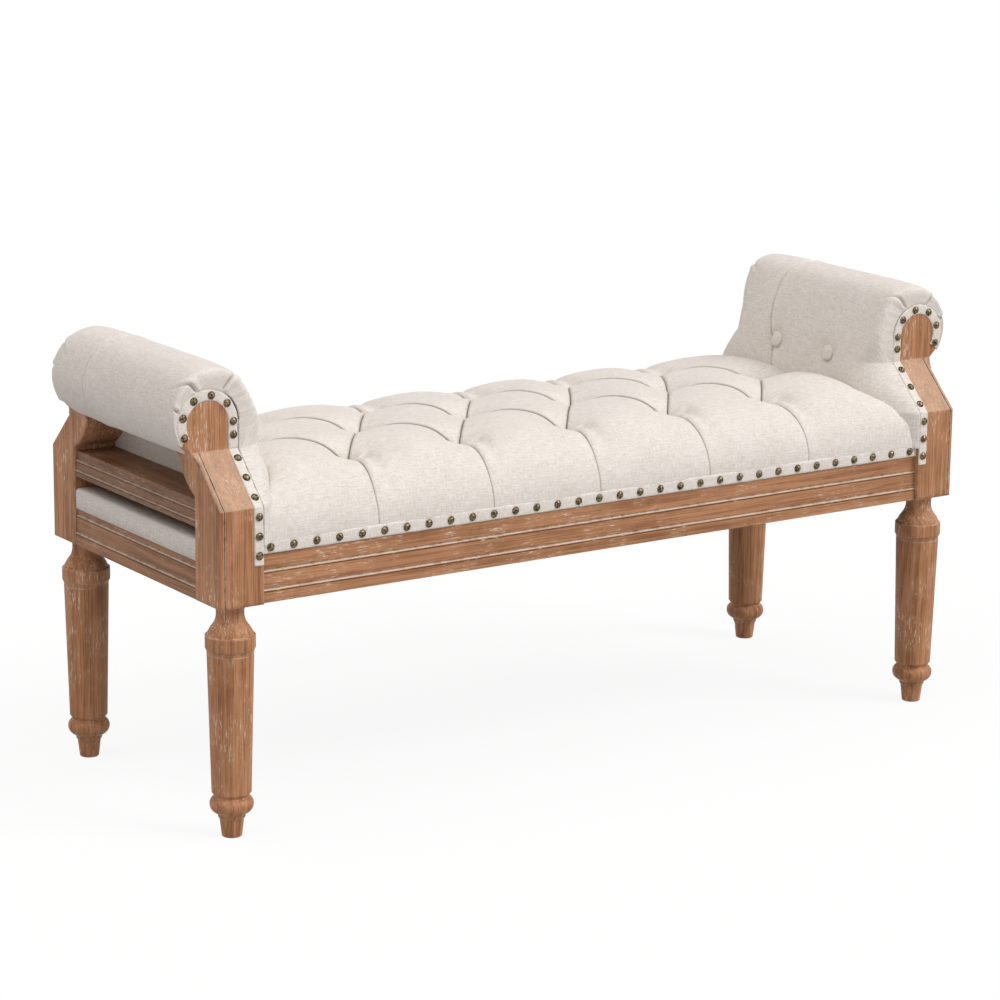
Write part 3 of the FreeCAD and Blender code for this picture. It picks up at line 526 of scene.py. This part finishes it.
def buildSeat():
    look = seatLook
    # the grid's diagonals run along the pleats, and its lines crowd together at the tufts
    t = np.arange(look["steps"]) / look["steps"]
    unit = t - 0.5 * np.sin(2 * math.pi * t) / (2 * math.pi)
    halves = 2 * (look["columns"] - 1)
    between = [middleTufts[0] + (k + unit) * tuftSpacing / 2 for k in range(halves)]
    last = np.linspace(0, 1, int(look["steps"] * 0.8))[1:] ** 0.85 * look["margin"]
    x = np.concatenate([-middleTufts[-1] - last[::-1], *between, [middleTufts[-1]], middleTufts[-1] + last])
    # the front's curve from the outer row of tufts down to the band
    fineY = tuftRow + (halfDepth - tuftRow) * np.sin(np.linspace(0, math.pi / 2, 400))
    length = arcLength(np.stack([fineY, crownHeight(fineY)], axis=1), axis=0)
    frontV = np.linspace(0, length[-1], int(look["steps"] * 1.1))[1:]
    v = np.concatenate([-tuftRow - frontV[::-1], -tuftRow + unit * tuftRow, unit * tuftRow, [tuftRow],
                        tuftRow + frontV])
    X, V = np.meshgrid(x, v, indexing="ij")
    beyond = np.clip(np.abs(V) - tuftRow, 0, None)
    down = np.clip(beyond / length[-1], 0, 1)
    Y = np.sign(V) * np.where(beyond > 0, np.interp(beyond, length, fineY), np.abs(V))
    sink, paintedCreaseShade = seatRelief(X, V, beyond, down, seatPleats(length[-1]))
    points = np.stack([X, Y, crownHeight(Y)], axis=-1)
    normal = outward(points)
    normal = normal * np.sign(normal[..., 2:3] + 1e-9)
    points = points - normal * sink[..., None]
    toBack = np.clip((V / look["fallOver"] + 1) / 2, 0, 1)
    points[..., 2] -= look["backFall"] * toBack * (1 - down)

    # the cover is lower beside the arms and rounds down to them
    besideArm = np.clip((np.abs(X) - (halfLength - look["armRound"])) / look["armRound"], 0, 1)
    armLine = np.array(look["armLine"]) * mm
    lineRun = arcLength(armLine, axis=0)
    share = np.abs(V) / np.abs(V).max() * lineRun[-1]
    end = np.stack([X, np.sign(V) * np.interp(share, lineRun, armLine[:, 0]),
                    np.interp(share, lineRun, armLine[:, 1])], axis=-1)
    toArm = (1 - np.sqrt(1 - 0.999 * besideArm ** 2))[..., None]
    points = points * (1 - toArm) + end * toArm

    # tufts stand a little off their even places, the front pleats wander as they run down
    frontRow = np.interp(X, outerTufts, look["frontShift"])
    frontRow = frontRow + (np.interp(X, outerTufts, look["drift"]) - frontRow) * smooth(down * 1.2)
    backRow = np.interp(X, outerTufts, look["backShift"])
    middleRow = np.interp(X, middleTufts, look["middleShift"])
    toRow = smooth(np.abs(V) / tuftRow)
    shift = middleRow * (1 - toRow) + np.where(V < 0, frontRow, backRow) * toRow
    points[..., 0] += shift * np.clip((halfLength - np.abs(X)) / look["margin"], 0, 1)
    past = np.abs(points[..., 0]) - middleTufts[-1]
    reach = (seatEnd(points[..., 1]) - middleTufts[-1]) / look["margin"]
    points[..., 0] = np.where(past > 0, np.sign(X) * (middleTufts[-1] + past * reach), points[..., 0])

    # walls and an underside close the form
    base = bandHigh.z - look["tuckedIn"]
    under = points[::-1].copy()
    under[..., 2] = base
    ring = np.concatenate([points, under], axis=0)
    edges = [ring[:, k:k + 1] * [1, 1, 0] + [0, 0, base] for k in (0, ring.shape[1] - 1)]
    ring = np.concatenate([edges[0], ring, edges[1]], axis=1)
    paintedCreaseShade = np.pad(paintedCreaseShade, ((0, len(x)), (1, 1)))
    cloth = np.stack([ring[..., 0], np.tile(np.pad(v, 1, mode="edge"), (len(ring), 1))], axis=-1)
    piece = gridPiece("tufted_seat", ring, finishes["linen"], closedRows=True, cloth=cloth, paintedCreaseShade=paintedCreaseShade)
    return linkPiece(piece, "linen", "seat_cover", fill=0.8)


seat = buildSeat()
print("seat made:", len(seat.data.vertices), "points")


# Arms

padLow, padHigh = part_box("arm_pad_right")
boardLow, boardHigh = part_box("arm_board_right")
armLook = {
    "rollX": 576.5 * mm, "rollZ": 553 * mm, "rollRadius": 58.5 * mm, "rollCrown": 3.5 * mm,
    # the face curves from the seat up to the roll; its handles are how far it keeps each end's direction
    "faceX": 488 * mm, "faceZ": 455 * mm, "faceLean": 0.05, "lowHandle": 42 * mm, "highHandle": 38 * mm,
    "meetAngle": 118, "tuckAngle": -121, "overHead": 2.5 * mm, "boardSide": (545 * mm, 522 * mm),
    "rollEnd": 11 * mm, "endPuff": 4.0 * mm, "fullFrom": 465 * mm, "fullOver": 85 * mm,
    # the inner side of the back end is slacker
    "slackFrom": 490 * mm, "slackLeast": 0.40, "slackOver": 40 * mm,
    # the padding meets each head just outside the wood, and under the strip's end it is tucked in
    "ringOutside": 1.2 * mm, "tuckFrom": -34, "tuckInside": 7 * mm, "tuckBack": 14 * mm,
    "buttonsY": (-68 * mm, 52 * mm), "buttonZ": 505 * mm,
    "dimple": 12 * mm, "dimpleWidth": 19 * mm, "dimpleShade": 0.20,
    "pleatDepth": 2.6 * mm, "pleatWidth": 1.5 * mm, "pleatFold": 1.0 * mm, "closeRows": (52 * mm, 84 * mm),
    # where the pleat runs: distance up and over the padding, and place along the arm
    "pleatLine": ((60, 42), (90, 52), (115, 63), (150, 71), (190, 77), (240, 76), (300, 73), (380, 73)),
    # gathers at each end of the roll: angle round the head, lean as they run back, length
    "gathers": ((118, 0.35, 26 * mm), (70, -0.55, 30 * mm), (24, 0.1, 16 * mm)),
    "gatherDepth": 3.2 * mm, "gatherWidth": 1.6 * mm, "gatherFold": 1.8 * mm, "creaseShade": 0.8,
}


def armSection(crown):  # points round the padding, from the seat up, over the roll and back down the board
    look = armLook
    radius = look["rollRadius"] + look["rollCrown"] * crown
    centre = np.array([look["rollX"], look["rollZ"]])
    meet, tuck = math.radians(look["meetAngle"]), math.radians(look["tuckAngle"])
    start = np.array([look["faceX"] + 1.5 * mm * (1 - crown), look["faceZ"]])
    end = centre + radius * np.array([math.cos(meet), math.sin(meet)])
    first = start + np.array([look["faceLean"], 1.0]) * look["lowHandle"]
    second = end - np.array([math.sin(meet), -math.cos(meet)]) * look["highHandle"]
    fine = 2
    t = np.linspace(0, 1, 45 * fine)[:, None]
    face = start * (1 - t) ** 3 + 3 * first * t * (1 - t) ** 2 + 3 * second * t * t * (1 - t) + end * t ** 3
    low = np.linspace(padLow.z, start[1], 15 * fine, endpoint=False)
    foot = np.stack([start[0] + 2 * mm * (1 - (low - padLow.z) / (start[1] - padLow.z)) ** 2, low], axis=1)

    def arc(first, last, count):  # part of the roll, which also covers the posts' round heads
        angle = np.linspace(first, last, count)[1:, None]
        out = np.concatenate([np.cos(angle), np.sin(angle)], axis=1)
        head = np.array([post["headX"], post["headZ"]]) - centre
        towards = out @ head
        overHead = towards + np.sqrt((headRadius + look["overHead"]) ** 2 - head @ head + towards ** 2)
        degrees = np.degrees(angle[:, 0])
        low = smooth((degrees + 108) / 30) * (1 - smooth((degrees - 10) / 40))
        return centre + (radius + np.maximum(overHead - radius, 0) * low)[:, None] * out

    over = arc(meet, 0, 35 * fine)
    under = arc(0, tuck, 40 * fine)
    skin = 0.6 * mm
    top = [[boardHigh.x + skin, boardHigh.z + skin]]
    down = np.linspace(boardHigh.z, padLow.z, len(foot) + len(face) + len(over) - len(under) - 1)
    behind = np.stack([np.full_like(down, boardLow.x - skin), down], axis=1)
    return np.concatenate([foot, face, over, under, top, behind])


def armEnd(flat, outer, hidden):  # where each point of the section ends: round a post's head or beside it
    look = armLook
    towards = np.arctan2(flat[:, 1] - post["headZ"], flat[:, 0] - post["headX"])
    onHead = ((flat[:, 1] > post["headZ"]) | (flat[:, 0] > post["headX"])) & ~hidden
    tucked = ~hidden & outer & (towards < math.radians(look["tuckFrom"])) & (flat[:, 1] < post["headZ"])
    ringRadius = headRadius + np.where(tucked, -look["tuckInside"], look["ringOutside"])
    x = np.where(onHead, post["headX"] + ringRadius * np.cos(towards), np.maximum(flat[:, 0], post["inner"]))
    x = np.where(hidden, flat[:, 0], x)
    z = np.where(onHead, post["headZ"] + ringRadius * np.sin(towards), flat[:, 1])
    y = np.where(onHead, post["headFront"], postFace(z)) + np.where(hidden, -8 * mm, 0.8 * mm)
    return x, np.where(tucked, post["headFront"] - look["tuckBack"], y), z


def armRelief(points, along, fromEnd, hidden):  # how far the padding is drawn in, and how much painted shade each crease, dimple and gather gets
    look = armLook
    sink = np.zeros(points.shape[:2])
    # the pleat beside the back button runs over the whole roll
    pleatRun, pleatY = np.array(look["pleatLine"]).T * mm
    offset = points[..., 1] - np.interp(along, pleatRun, pleatY)
    shown = smooth((points[..., 2] - 400 * mm) / (20 * mm)) * ~hidden
    # painted shade along the pleat, and below in each button's dimple and each gather
    paintedCreaseShade = look["creaseShade"] * ridge(offset, 0.9 * mm) * shown
    inward = points[..., 0] < look["rollX"] - 10 * mm
    for y in look["buttonsY"]:
        away = np.hypot(points[..., 1] - y, points[..., 2] - look["buttonZ"])
        sink += look["dimple"] * ridge(away, look["dimpleWidth"], 1.6) * inward
        paintedCreaseShade += look["dimpleShade"] * ridge(away, look["dimpleWidth"]) * inward
    sink += look["pleatDepth"] * ridge(offset, look["pleatWidth"]) * shown
    sink -= look["pleatFold"] * ridge(offset + 6 * mm, 4 * mm) * shown
    # gathers fan out from the strip round each head
    swing = np.degrees(np.arctan2(points[..., 2] - post["headZ"], points[..., 0] - post["headX"]))
    for angle, lean, length in look["gathers"]:
        aside = np.radians(swing - angle) * 50 * mm - lean * fromEnd
        strength = ridge(fromEnd, length) * ~hidden * smooth(fromEnd / (2 * mm))
        sink += look["gatherDepth"] * ridge(aside, look["gatherWidth"]) * strength
        sink -= look["gatherFold"] * ridge(aside - 5 * mm, 3 * mm) * strength
        paintedCreaseShade += look["creaseShade"] * ridge(aside, 1.0 * mm) * strength
    sink[0] = sink[-1] = 0
    return sink, np.clip(paintedCreaseShade, 0, 1)


def buildArm(side):
    look = armLook
    name = "left" if side < 0 else "right"
    flat = armSection(0.0)
    count = len(flat)
    outer = np.arange(count) > count // 2
    hidden = outer & (flat < look["boardSide"]).all(axis=1)  # the part that lies on the board
    endX, endY, endZ = armEnd(flat, outer, hidden)
    # the seat side has wide round corners, the roll has tight ends
    outside = flat[:, 0] > post["headX"]
    full = smooth((flat[:, 1] - look["fullFrom"]) / look["fullOver"])
    slack = smooth((flat[:, 1] - look["slackFrom"]) / (padHigh.z - look["slackFrom"]))
    least = look["slackLeast"] * smooth((flat[:, 1] - look["fullFrom"]) / look["slackOver"])
    slack = np.maximum(slack, least)
    full, slack = np.where(outside, 1.0, full), np.where(outside, 1.0, slack)
    corner = cornerLook  # above the seat the corner is fuller
    free = smooth((flat[:, 1] - corner["upperFrom"]) / corner["upperOver"])
    wideReach = corner["reach"] + (corner["upperReach"] - corner["reach"]) * free
    power = corner["power"] + (corner["upperPower"] - corner["power"]) * free
    upper = smooth((flat[:, 1] - corner["highFrom"]) / corner["highOver"])
    widthShare = corner["lowShare"] + (corner["highShare"] - corner["lowShare"]) * upper

    # rows lie close together where the pleat runs
    fine, wide = ((0.8 * mm, 2.4 * mm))
    straight = post["headFront"] - 1 * mm - look["rollEnd"]
    rows, y = [], -straight
    while y < straight:
        rows.append(y / straight)
        y += fine if look["closeRows"][0] < y < look["closeRows"][1] else wide
    turn = np.radians(np.linspace(0, 90, 22)[1:])
    layers = [(-1.0, a) for a in turn[::-1]] + [(r, 0.0) for r in rows + [1.0]] + [(1.0, a) for a in turn]
    points = np.zeros((len(layers) + 2, count, 3))
    fromEnd = np.zeros((len(layers) + 2, count))
    for k, (r, a) in enumerate(layers, start=1):
        section = armSection(1 - 0.6 * abs(r) ** 6 if a == 0 else 0.4)
        t = math.sin(a)
        tight = full + (slack - full) * (r + 1) / 2
        reach = np.where(hidden, 2 * mm, wideReach + (look["rollEnd"] - wideReach) * tight)
        shrink = cornerCurve(t, widthShare, power) * (1 - tight) + (1 - math.cos(a) ** 0.9) * tight
        puff = look["endPuff"] * math.sin(math.pi * t ** 1.5) * tight ** 2
        points[k, :, 0] = section[:, 0] + (endX - section[:, 0]) * shrink
        points[k, :, 1] = r * (endY - reach) + math.copysign(1, r) * (reach * t + puff)
        points[k, :, 2] = section[:, 1] + (endZ - section[:, 1]) * shrink
        fromEnd[k] = endY - np.abs(points[k, :, 1]) + (1 - shrink) * 14 * mm
    # a last row behind each end, pulled into the wood
    inside = np.stack([np.clip(endX - 6 * mm, 535 * mm, 600 * mm), endY - 9 * mm,
                       np.clip(endZ, 0, 570 * mm)], axis=-1)
    points[0], points[-1] = inside * [1, -1, 1], inside

    normal = outward(points, closedColumns=True)
    centre = np.array([look["rollX"], 0, 480 * mm])
    if np.mean((points - centre) * [1, 0, 1] * normal) < 0:
        normal = -normal
    along = arcLength(points, axis=1)
    sink, paintedCreaseShade = armRelief(points, along, fromEnd, hidden)
    points -= normal * sink[..., None]
    points[..., 0] *= side
    if side < 0:
        points, paintedCreaseShade, along = points[::-1], paintedCreaseShade[::-1], along[::-1]
    cloth = np.stack([points[..., 1], along], axis=-1)
    middle = np.array([side * 552 * mm, 150 * mm, 520 * mm])  # each end closes inside the post
    middles = (middle * [1, -1, 1], middle) if side > 0 else (middle, middle * [1, -1, 1])
    piece = gridPiece("rolled_arm_" + name, points, finishes["linen"], closedColumns=True, cloth=cloth,
                      capsAt=middles, paintedCreaseShade=paintedCreaseShade)
    return linkPiece(piece, "linen", "arm_pad_" + name, fill=0.75)


for side in (-1, 1):
    buildArm(side)
print("arms made")


# Buttons, covered in the same linen

buttonLook = {"radius": 11.5 * mm, "domeRise": 3.2 * mm, "rim": 3.0 * mm, "proud": 2.2 * mm, "rooted": 2 * mm,
              "tilt": 0.30}


def buildButtons(side):
    name = "left" if side < 0 else "right"
    look = buttonLook
    arm = bpy.data.objects["rolled_arm_" + name]
    turn = np.radians(np.linspace(0, 90, 10))
    radii = np.concatenate([look["radius"] * np.sin(turn), look["radius"] * np.array([1.01, 0.94, 0.0])])
    rise = np.concatenate([look["rim"] + look["domeRise"] * np.cos(turn), [look["rim"] * 0.4],
                           [-look["rooted"], -look["rooted"]]])
    angle = np.linspace(0, 2 * math.pi, 40, endpoint=False)
    disc = np.stack([radii[:, None] * np.cos(angle), radii[:, None] * np.sin(angle)], axis=-1)
    facing = Vector((-side, 0, look["tilt"])).normalized()
    alongY = Vector((0, 1, 0))
    upward = facing.cross(alongY)
    made = []
    for y in armLook["buttonsY"]:
        point = arm.ray_cast(Vector((0, y, armLook["buttonZ"])), Vector((side, 0, 0)))[1]
        middle = point + facing * look["proud"]
        ring = np.zeros((len(radii), len(angle), 3))
        for axis in range(3):
            ring[..., axis] = (middle[axis] + rise[:, None] * facing[axis]
                               + disc[..., 0] * alongY[axis] + disc[..., 1] * upward[axis])
        made.append(gridPiece("arm_button", ring, finishes["linen"], closedColumns=True, cloth=disc))
    pair = joined("arm_button_pair_" + name, made)
    return linkPiece(pair, "linen", "arm_buttons_" + name, fill=0.9)


for side in (-1, 1):
    buildButtons(side)
print("buttons made")


# Nailed tape: a folded strip of linen that each nail pulls flat

tapeLook = {"thick": 1.7 * mm, "puff": 0.7 * mm, "widen": 0.4 * mm, "nailReach": 9 * mm, "profile": 15}


# centre holds points along the tape, across and face unit vectors, and nailsAt the nails' places along it
def tape(name, centre, across, face, width, nailsAt):
    look = tapeLook
    run = arcLength(centre, axis=0)
    toNail = np.min(np.abs(run[:, None] - np.asarray(nailsAt)[None, :]), axis=1)
    puff = smooth(toNail / look["nailReach"])
    share = np.linspace(-1, 1, look["profile"])
    half = width / 2 + look["widen"] * (puff - 1)
    shape = (1 - np.abs(share) ** 5) ** 0.5
    rise = (look["thick"] - look["puff"] * (1 - puff))[:, None] * (0.25 + 0.75 * shape)[None, :]
    middle, aside, out = centre[:, None, :], across[:, None, :], face[:, None, :]
    top = middle + aside * (half[:, None] * share)[..., None] + out * rise[..., None]
    below = middle + aside * (half[:, None] * share[::-1])[..., None] + out * 0.02 * mm
    ring = np.concatenate([top, below], axis=1)
    sideways = half[:, None] * np.concatenate([share, share[::-1]])[None, :]
    cloth = np.stack([sideways, np.repeat(run[:, None], 2 * look["profile"], axis=1)], axis=-1)
    return gridPiece(name, ring, finishes["tape"], closedColumns=True, cloth=cloth, capsAt=ends(ring))


nailRadius = 5.4 * mm
bandNails = 32


def buildBand(side):
    name = "front" if side < 0 else "back"
    low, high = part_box("seat_band_" + name)
    nailLow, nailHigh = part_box("seat_nails_" + name)
    x = np.linspace(low.x, high.x, 1100)
    inside = low.y if side > 0 else high.y
    centre = np.stack([x, np.full_like(x, inside), np.full_like(x, (low.z + high.z) / 2)], axis=1)
    across = np.tile([0.0, 0.0, -float(side)], (len(x), 1))
    face = np.tile([0.0, float(side), 0.0], (len(x), 1))
    nailsAt = np.linspace(nailLow.x + nailRadius, nailHigh.x - nailRadius, bandNails) - low.x
    piece = tape("seat_tape_" + name, centre, across, face, high.z - low.z, nailsAt)
    return linkPiece(piece, "linen", "seat_band_" + name, flat=(high.z - low.z, high.x - low.x),
                     held="stretched", restsOn=("rail_" + name, "tufted_seat"))


stripLook = {
    "width": 14 * mm, "endAngle": -32, "lowNails": (377.8 * mm, 399.4 * mm, 421 * mm), "upperNails": 10,
    "nailPitch": 22 * mm, "lastNail": 5 * mm,
}


def buildStrip(end, side):
    name = ("front" if end < 0 else "back") + "_" + ("left" if side < 0 else "right")
    look = stripLook
    x0 = post["inner"] + look["width"] / 2
    ringRadius = headRadius - look["width"] / 2
    straight = np.linspace(stripLow.z, post["headZ"], 150)
    straight = np.unique(np.concatenate([straight, [post["slopeStart"], post["slopeEnd"]]]))
    angle = np.radians(np.linspace(180, look["endAngle"], 140))[1:]
    x = np.concatenate([np.full_like(straight, x0), post["headX"] + ringRadius * np.cos(angle)])
    z = np.concatenate([straight, post["headZ"] + ringRadius * np.sin(angle)])
    y = np.where(np.arange(len(z)) >= len(straight), post["headFront"], postFace(z))
    centre = np.stack([x, -y, z], axis=1)
    across = np.concatenate([np.tile([-1.0, 0.0, 0.0], (len(straight), 1)),
                             np.stack([np.cos(angle), 0 * angle, np.sin(angle)], axis=1)])
    face = np.cross(across, np.gradient(centre, axis=0))
    face /= np.linalg.norm(face, axis=1, keepdims=True)
    if face[0, 1] > 0:
        face = -face
    run = arcLength(centre, axis=0)
    nailsAt = np.interp(look["lowNails"], straight, run[:len(straight)])
    upper = np.linspace(nailsAt[-1] + look["nailPitch"], run[-1] - look["lastNail"], look["upperNails"])
    mirror = np.array([side, -end * 1.0, 1.0])
    piece = tape("arm_tape_" + name, centre * mirror, across * mirror, face * mirror, look["width"],
                 np.concatenate([nailsAt, upper]))
    return linkPiece(piece, "linen", "arm_strip_" + name, flat=(look["width"], float(run[-1])),
                     held="stretched", restsOn=("post_" + name,))


for side in (-1, 1):
    buildBand(side)
    for end in (-1, 1):
        buildStrip(end, side)
print("tapes made")


# Cloth round the ends of the seat board, behind each arm and under the seat

seatEndLook = {"thick": 2.2 * mm, "corner": 5 * mm, "bulge": 0.3 * mm}


def buildSeatEnd(side):
    name = "left" if side < 0 else "right"
    look = seatEndLook
    low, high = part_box("seat_end_" + name)
    inner, outer = (low.x, high.x) if side > 0 else (-high.x, -low.x)
    y = np.linspace(low.y, high.y, 170)
    thick, radius, top, bottom = look["thick"], look["corner"], high.z, low.z
    profile = [(inner, top)]
    profile += [(outer - radius + radius * math.cos(a), top - radius + radius * math.sin(a))
                for a in np.radians(np.linspace(90, 0, 8))]
    profile += [(outer + look["bulge"], (top + bottom) / 2), (outer, bottom + 1 * mm),
                (outer - thick / 2, bottom), (outer - thick, bottom + 1 * mm), (outer - thick, top - radius),
                (outer - radius, top - thick), (inner, top - thick)]
    ring = np.zeros((len(y), len(profile), 3))
    for k, (px, pz) in enumerate(profile):
        ring[:, k] = np.stack([np.full_like(y, side * px), y, np.full_like(y, pz)], axis=1)
    down = np.tile(np.arange(len(profile)) * 5 * mm, (len(y), 1))
    piece = gridPiece("seat_end_cloth_" + name, ring, finishes["lip"], closedColumns=True,
                      cloth=np.stack([ring[..., 1], down], axis=-1), capsAt=ends(ring))
    wide = outer - inner + top - bottom - 3 * mm
    return linkPiece(piece, "linen", "seat_end_" + name, flat=(wide, high.y - low.y), held="folded",
                     restsOn=("seat_board",))


backClothLook = {"proud": 0.4 * mm, "depth": 1.0 * mm, "wave": 0.5 * mm}


def buildBackCloth(side):
    name = "left" if side < 0 else "right"
    look = backClothLook
    low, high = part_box("arm_back_cloth_" + name)
    face = high.x if side > 0 else -low.x
    Y, Z = np.meshgrid(np.linspace(low.y, high.y, 100), np.linspace(low.z, high.z, 40), indexing="ij")
    wave = look["wave"] * np.sin(Y * 21) * np.sin((Z - low.z) * 24)
    front = np.stack([side * (face + look["proud"] + wave), Y, Z], axis=-1)
    back = front[:, ::-1].copy()
    back[..., 0] = side * (face - look["depth"])
    ring = np.concatenate([front, back], axis=1)
    piece = gridPiece("arm_back_linen_" + name, ring, finishes["linen"], closedColumns=True,
                      cloth=ring[..., 1:3] * 1.0, capsAt=ends(ring))
    return linkPiece(piece, "linen", "arm_back_cloth_" + name, flat=(high.z - low.z, high.y - low.y),
                     held="stretched", restsOn=("arm_board_" + name,))


underLook = {"sag": 3.0 * mm, "thick": 1.0 * mm, "rippleHeight": 0.5 * mm}


def buildUnderCloth():  # the thin cloth stapled under the seat, cut out round the posts
    look = underLook
    low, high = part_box("dust_cloth")
    corners = np.abs([list(corner.co) for corner in nodes["dust_cloth"].data.vertices])
    cut = corners[(corners[:, 0] < high.x - 1 * mm) & (corners[:, 1] < high.y - 1 * mm)]
    cutX, cutY = cut.min(axis=0)[:2] if len(cut) else (high.x, high.y)
    x = np.concatenate([np.linspace(low.x, -cutX, 6), np.linspace(-cutX, cutX, 160),
                        np.linspace(cutX, high.x, 6)])
    halfY = np.full_like(x, high.y)
    halfY[:6] = halfY[-6:] = cutY
    share = np.linspace(-1, 1, 60)
    X, Y = np.repeat(x[:, None], 60, axis=1), halfY[:, None] * share
    sag = look["sag"] * (1 - (X / high.x) ** 4) * (1 - (Y / high.y) ** 4)
    ripple = look["rippleHeight"] * np.sin(X * 43 + 4 * np.sin(Y * 17)) * (1 - np.abs(share) ** 3)
    face = np.stack([X, Y, low.z - sag + ripple], axis=-1)
    back = face[:, ::-1] + [0, 0, look["thick"]]
    ring = np.concatenate([face, back], axis=1)
    piece = gridPiece("under_cloth", ring, finishes["underCloth"], closedColumns=True,
                      cloth=ring[..., :2] * 1.0, capsAt=ends(ring))
    return linkPiece(piece, "black_cloth", "dust_cloth", flat=(high.y - low.y, high.x - low.x),
                     held="stretched", restsOn=("seat_braces",))


for side in (-1, 1):
    buildSeatEnd(side)
    buildBackCloth(side)
buildUnderCloth()
print("cloths made")


# Floor, light and camera

stageLook = {
    "floorSize": 60.0, "floorGrey": 0.50, "floorGlow": 0.80, "glowLevel": 1.12,
    "ambient": 0.49, "fillTint": (1.0, 0.960, 0.925),
    # direction towards each lamp, its strength and how wide it looks, in degrees
    "lamps": {"key_lamp": ((0.50, -0.60, 0.62), 1.66, 28.0), "top_lamp": ((-0.38, -0.14, 0.92), 0.90, 60.0)},
}


def buildFloor():  # white where the camera sees it, and still dark enough to show the bench's shadow
    look = stageLook
    mesh = bpy.data.meshes.new("floor")
    half = look["floorSize"] / 2
    corners = [(-half, -half, 0), (half, -half, 0), (half, half, 0), (-half, half, 0)]
    mesh.from_pydata(corners, [], [(0, 1, 2, 3)])
    floor = bpy.data.objects.new("floor", mesh)
    bpy.context.scene.collection.objects.link(floor)
    f = Finish("white_floor")
    matt = f.node("ShaderNodeBsdfDiffuse", {}, {"Color": (look["floorGrey"],) * 3 + (1.0,)})
    glow = f.node("ShaderNodeEmission", {}, {"Color": (1, 1, 1, 1), "Strength": look["glowLevel"]})
    both = f.node("ShaderNodeMixShader", {}, {0: f.seen() * look["floorGlow"], 1: matt, 2: glow})
    mesh.materials.append(f.output(both))


def buildLight():
    look = stageLook
    sky = Finish("studio", bpy.data.worlds.new("studio"))
    seen = sky.seen()
    colour = sky.mix(seen, look["fillTint"], (1.0, 1.0, 1.0))
    level = seen * (1.0 - look["ambient"]) + look["ambient"]
    glow = sky.node("ShaderNodeBackground", {}, {"Color": colour, "Strength": level})
    bpy.context.scene.world = sky.output(glow, "ShaderNodeOutputWorld")
    for name, (towards, strength, width) in look["lamps"].items():
        lamp = bpy.data.lights.new(name, "SUN")
        lamp.energy, lamp.angle = strength, math.radians(width)
        lampObject = bpy.data.objects.new(name, lamp)
        lampObject.rotation_euler = (-Vector(towards)).to_track_quat("-Z", "Y").to_euler()
        bpy.context.scene.collection.objects.link(lampObject)


cameraLook = {
    "place": (-2.6745, -3.9413, 1.4827), "lens": 125.09,
    "turned": 33.906, "down": 13.567, "roll": 0.590,  # degrees: round from the front, tipped and rolled
}


def buildCamera():
    data = bpy.data.cameras.new("camera")
    data.lens, data.sensor_width = cameraLook["lens"], 36.0
    camera = bpy.data.objects.new("camera", data)
    turned, down, roll = (math.radians(cameraLook[key]) for key in ("turned", "down", "roll"))
    ahead = Vector((math.sin(turned) * math.cos(down), math.cos(turned) * math.cos(down), -math.sin(down)))
    right = Vector((math.cos(turned), -math.sin(turned), 0))
    up = right.cross(ahead)
    cameraX = right * math.cos(roll) + up * math.sin(roll)
    cameraY = up * math.cos(roll) - right * math.sin(roll)
    axes = Matrix((cameraX, cameraY, -ahead)).transposed()
    camera.matrix_world = Matrix.Translation(cameraLook["place"]) @ axes.to_4x4()
    bpy.context.scene.collection.objects.link(camera)
    bpy.context.scene.camera = camera


buildFloor()
buildLight()
buildCamera()
bpy.context.scene.view_settings.view_transform = "Standard"
print("stage set")
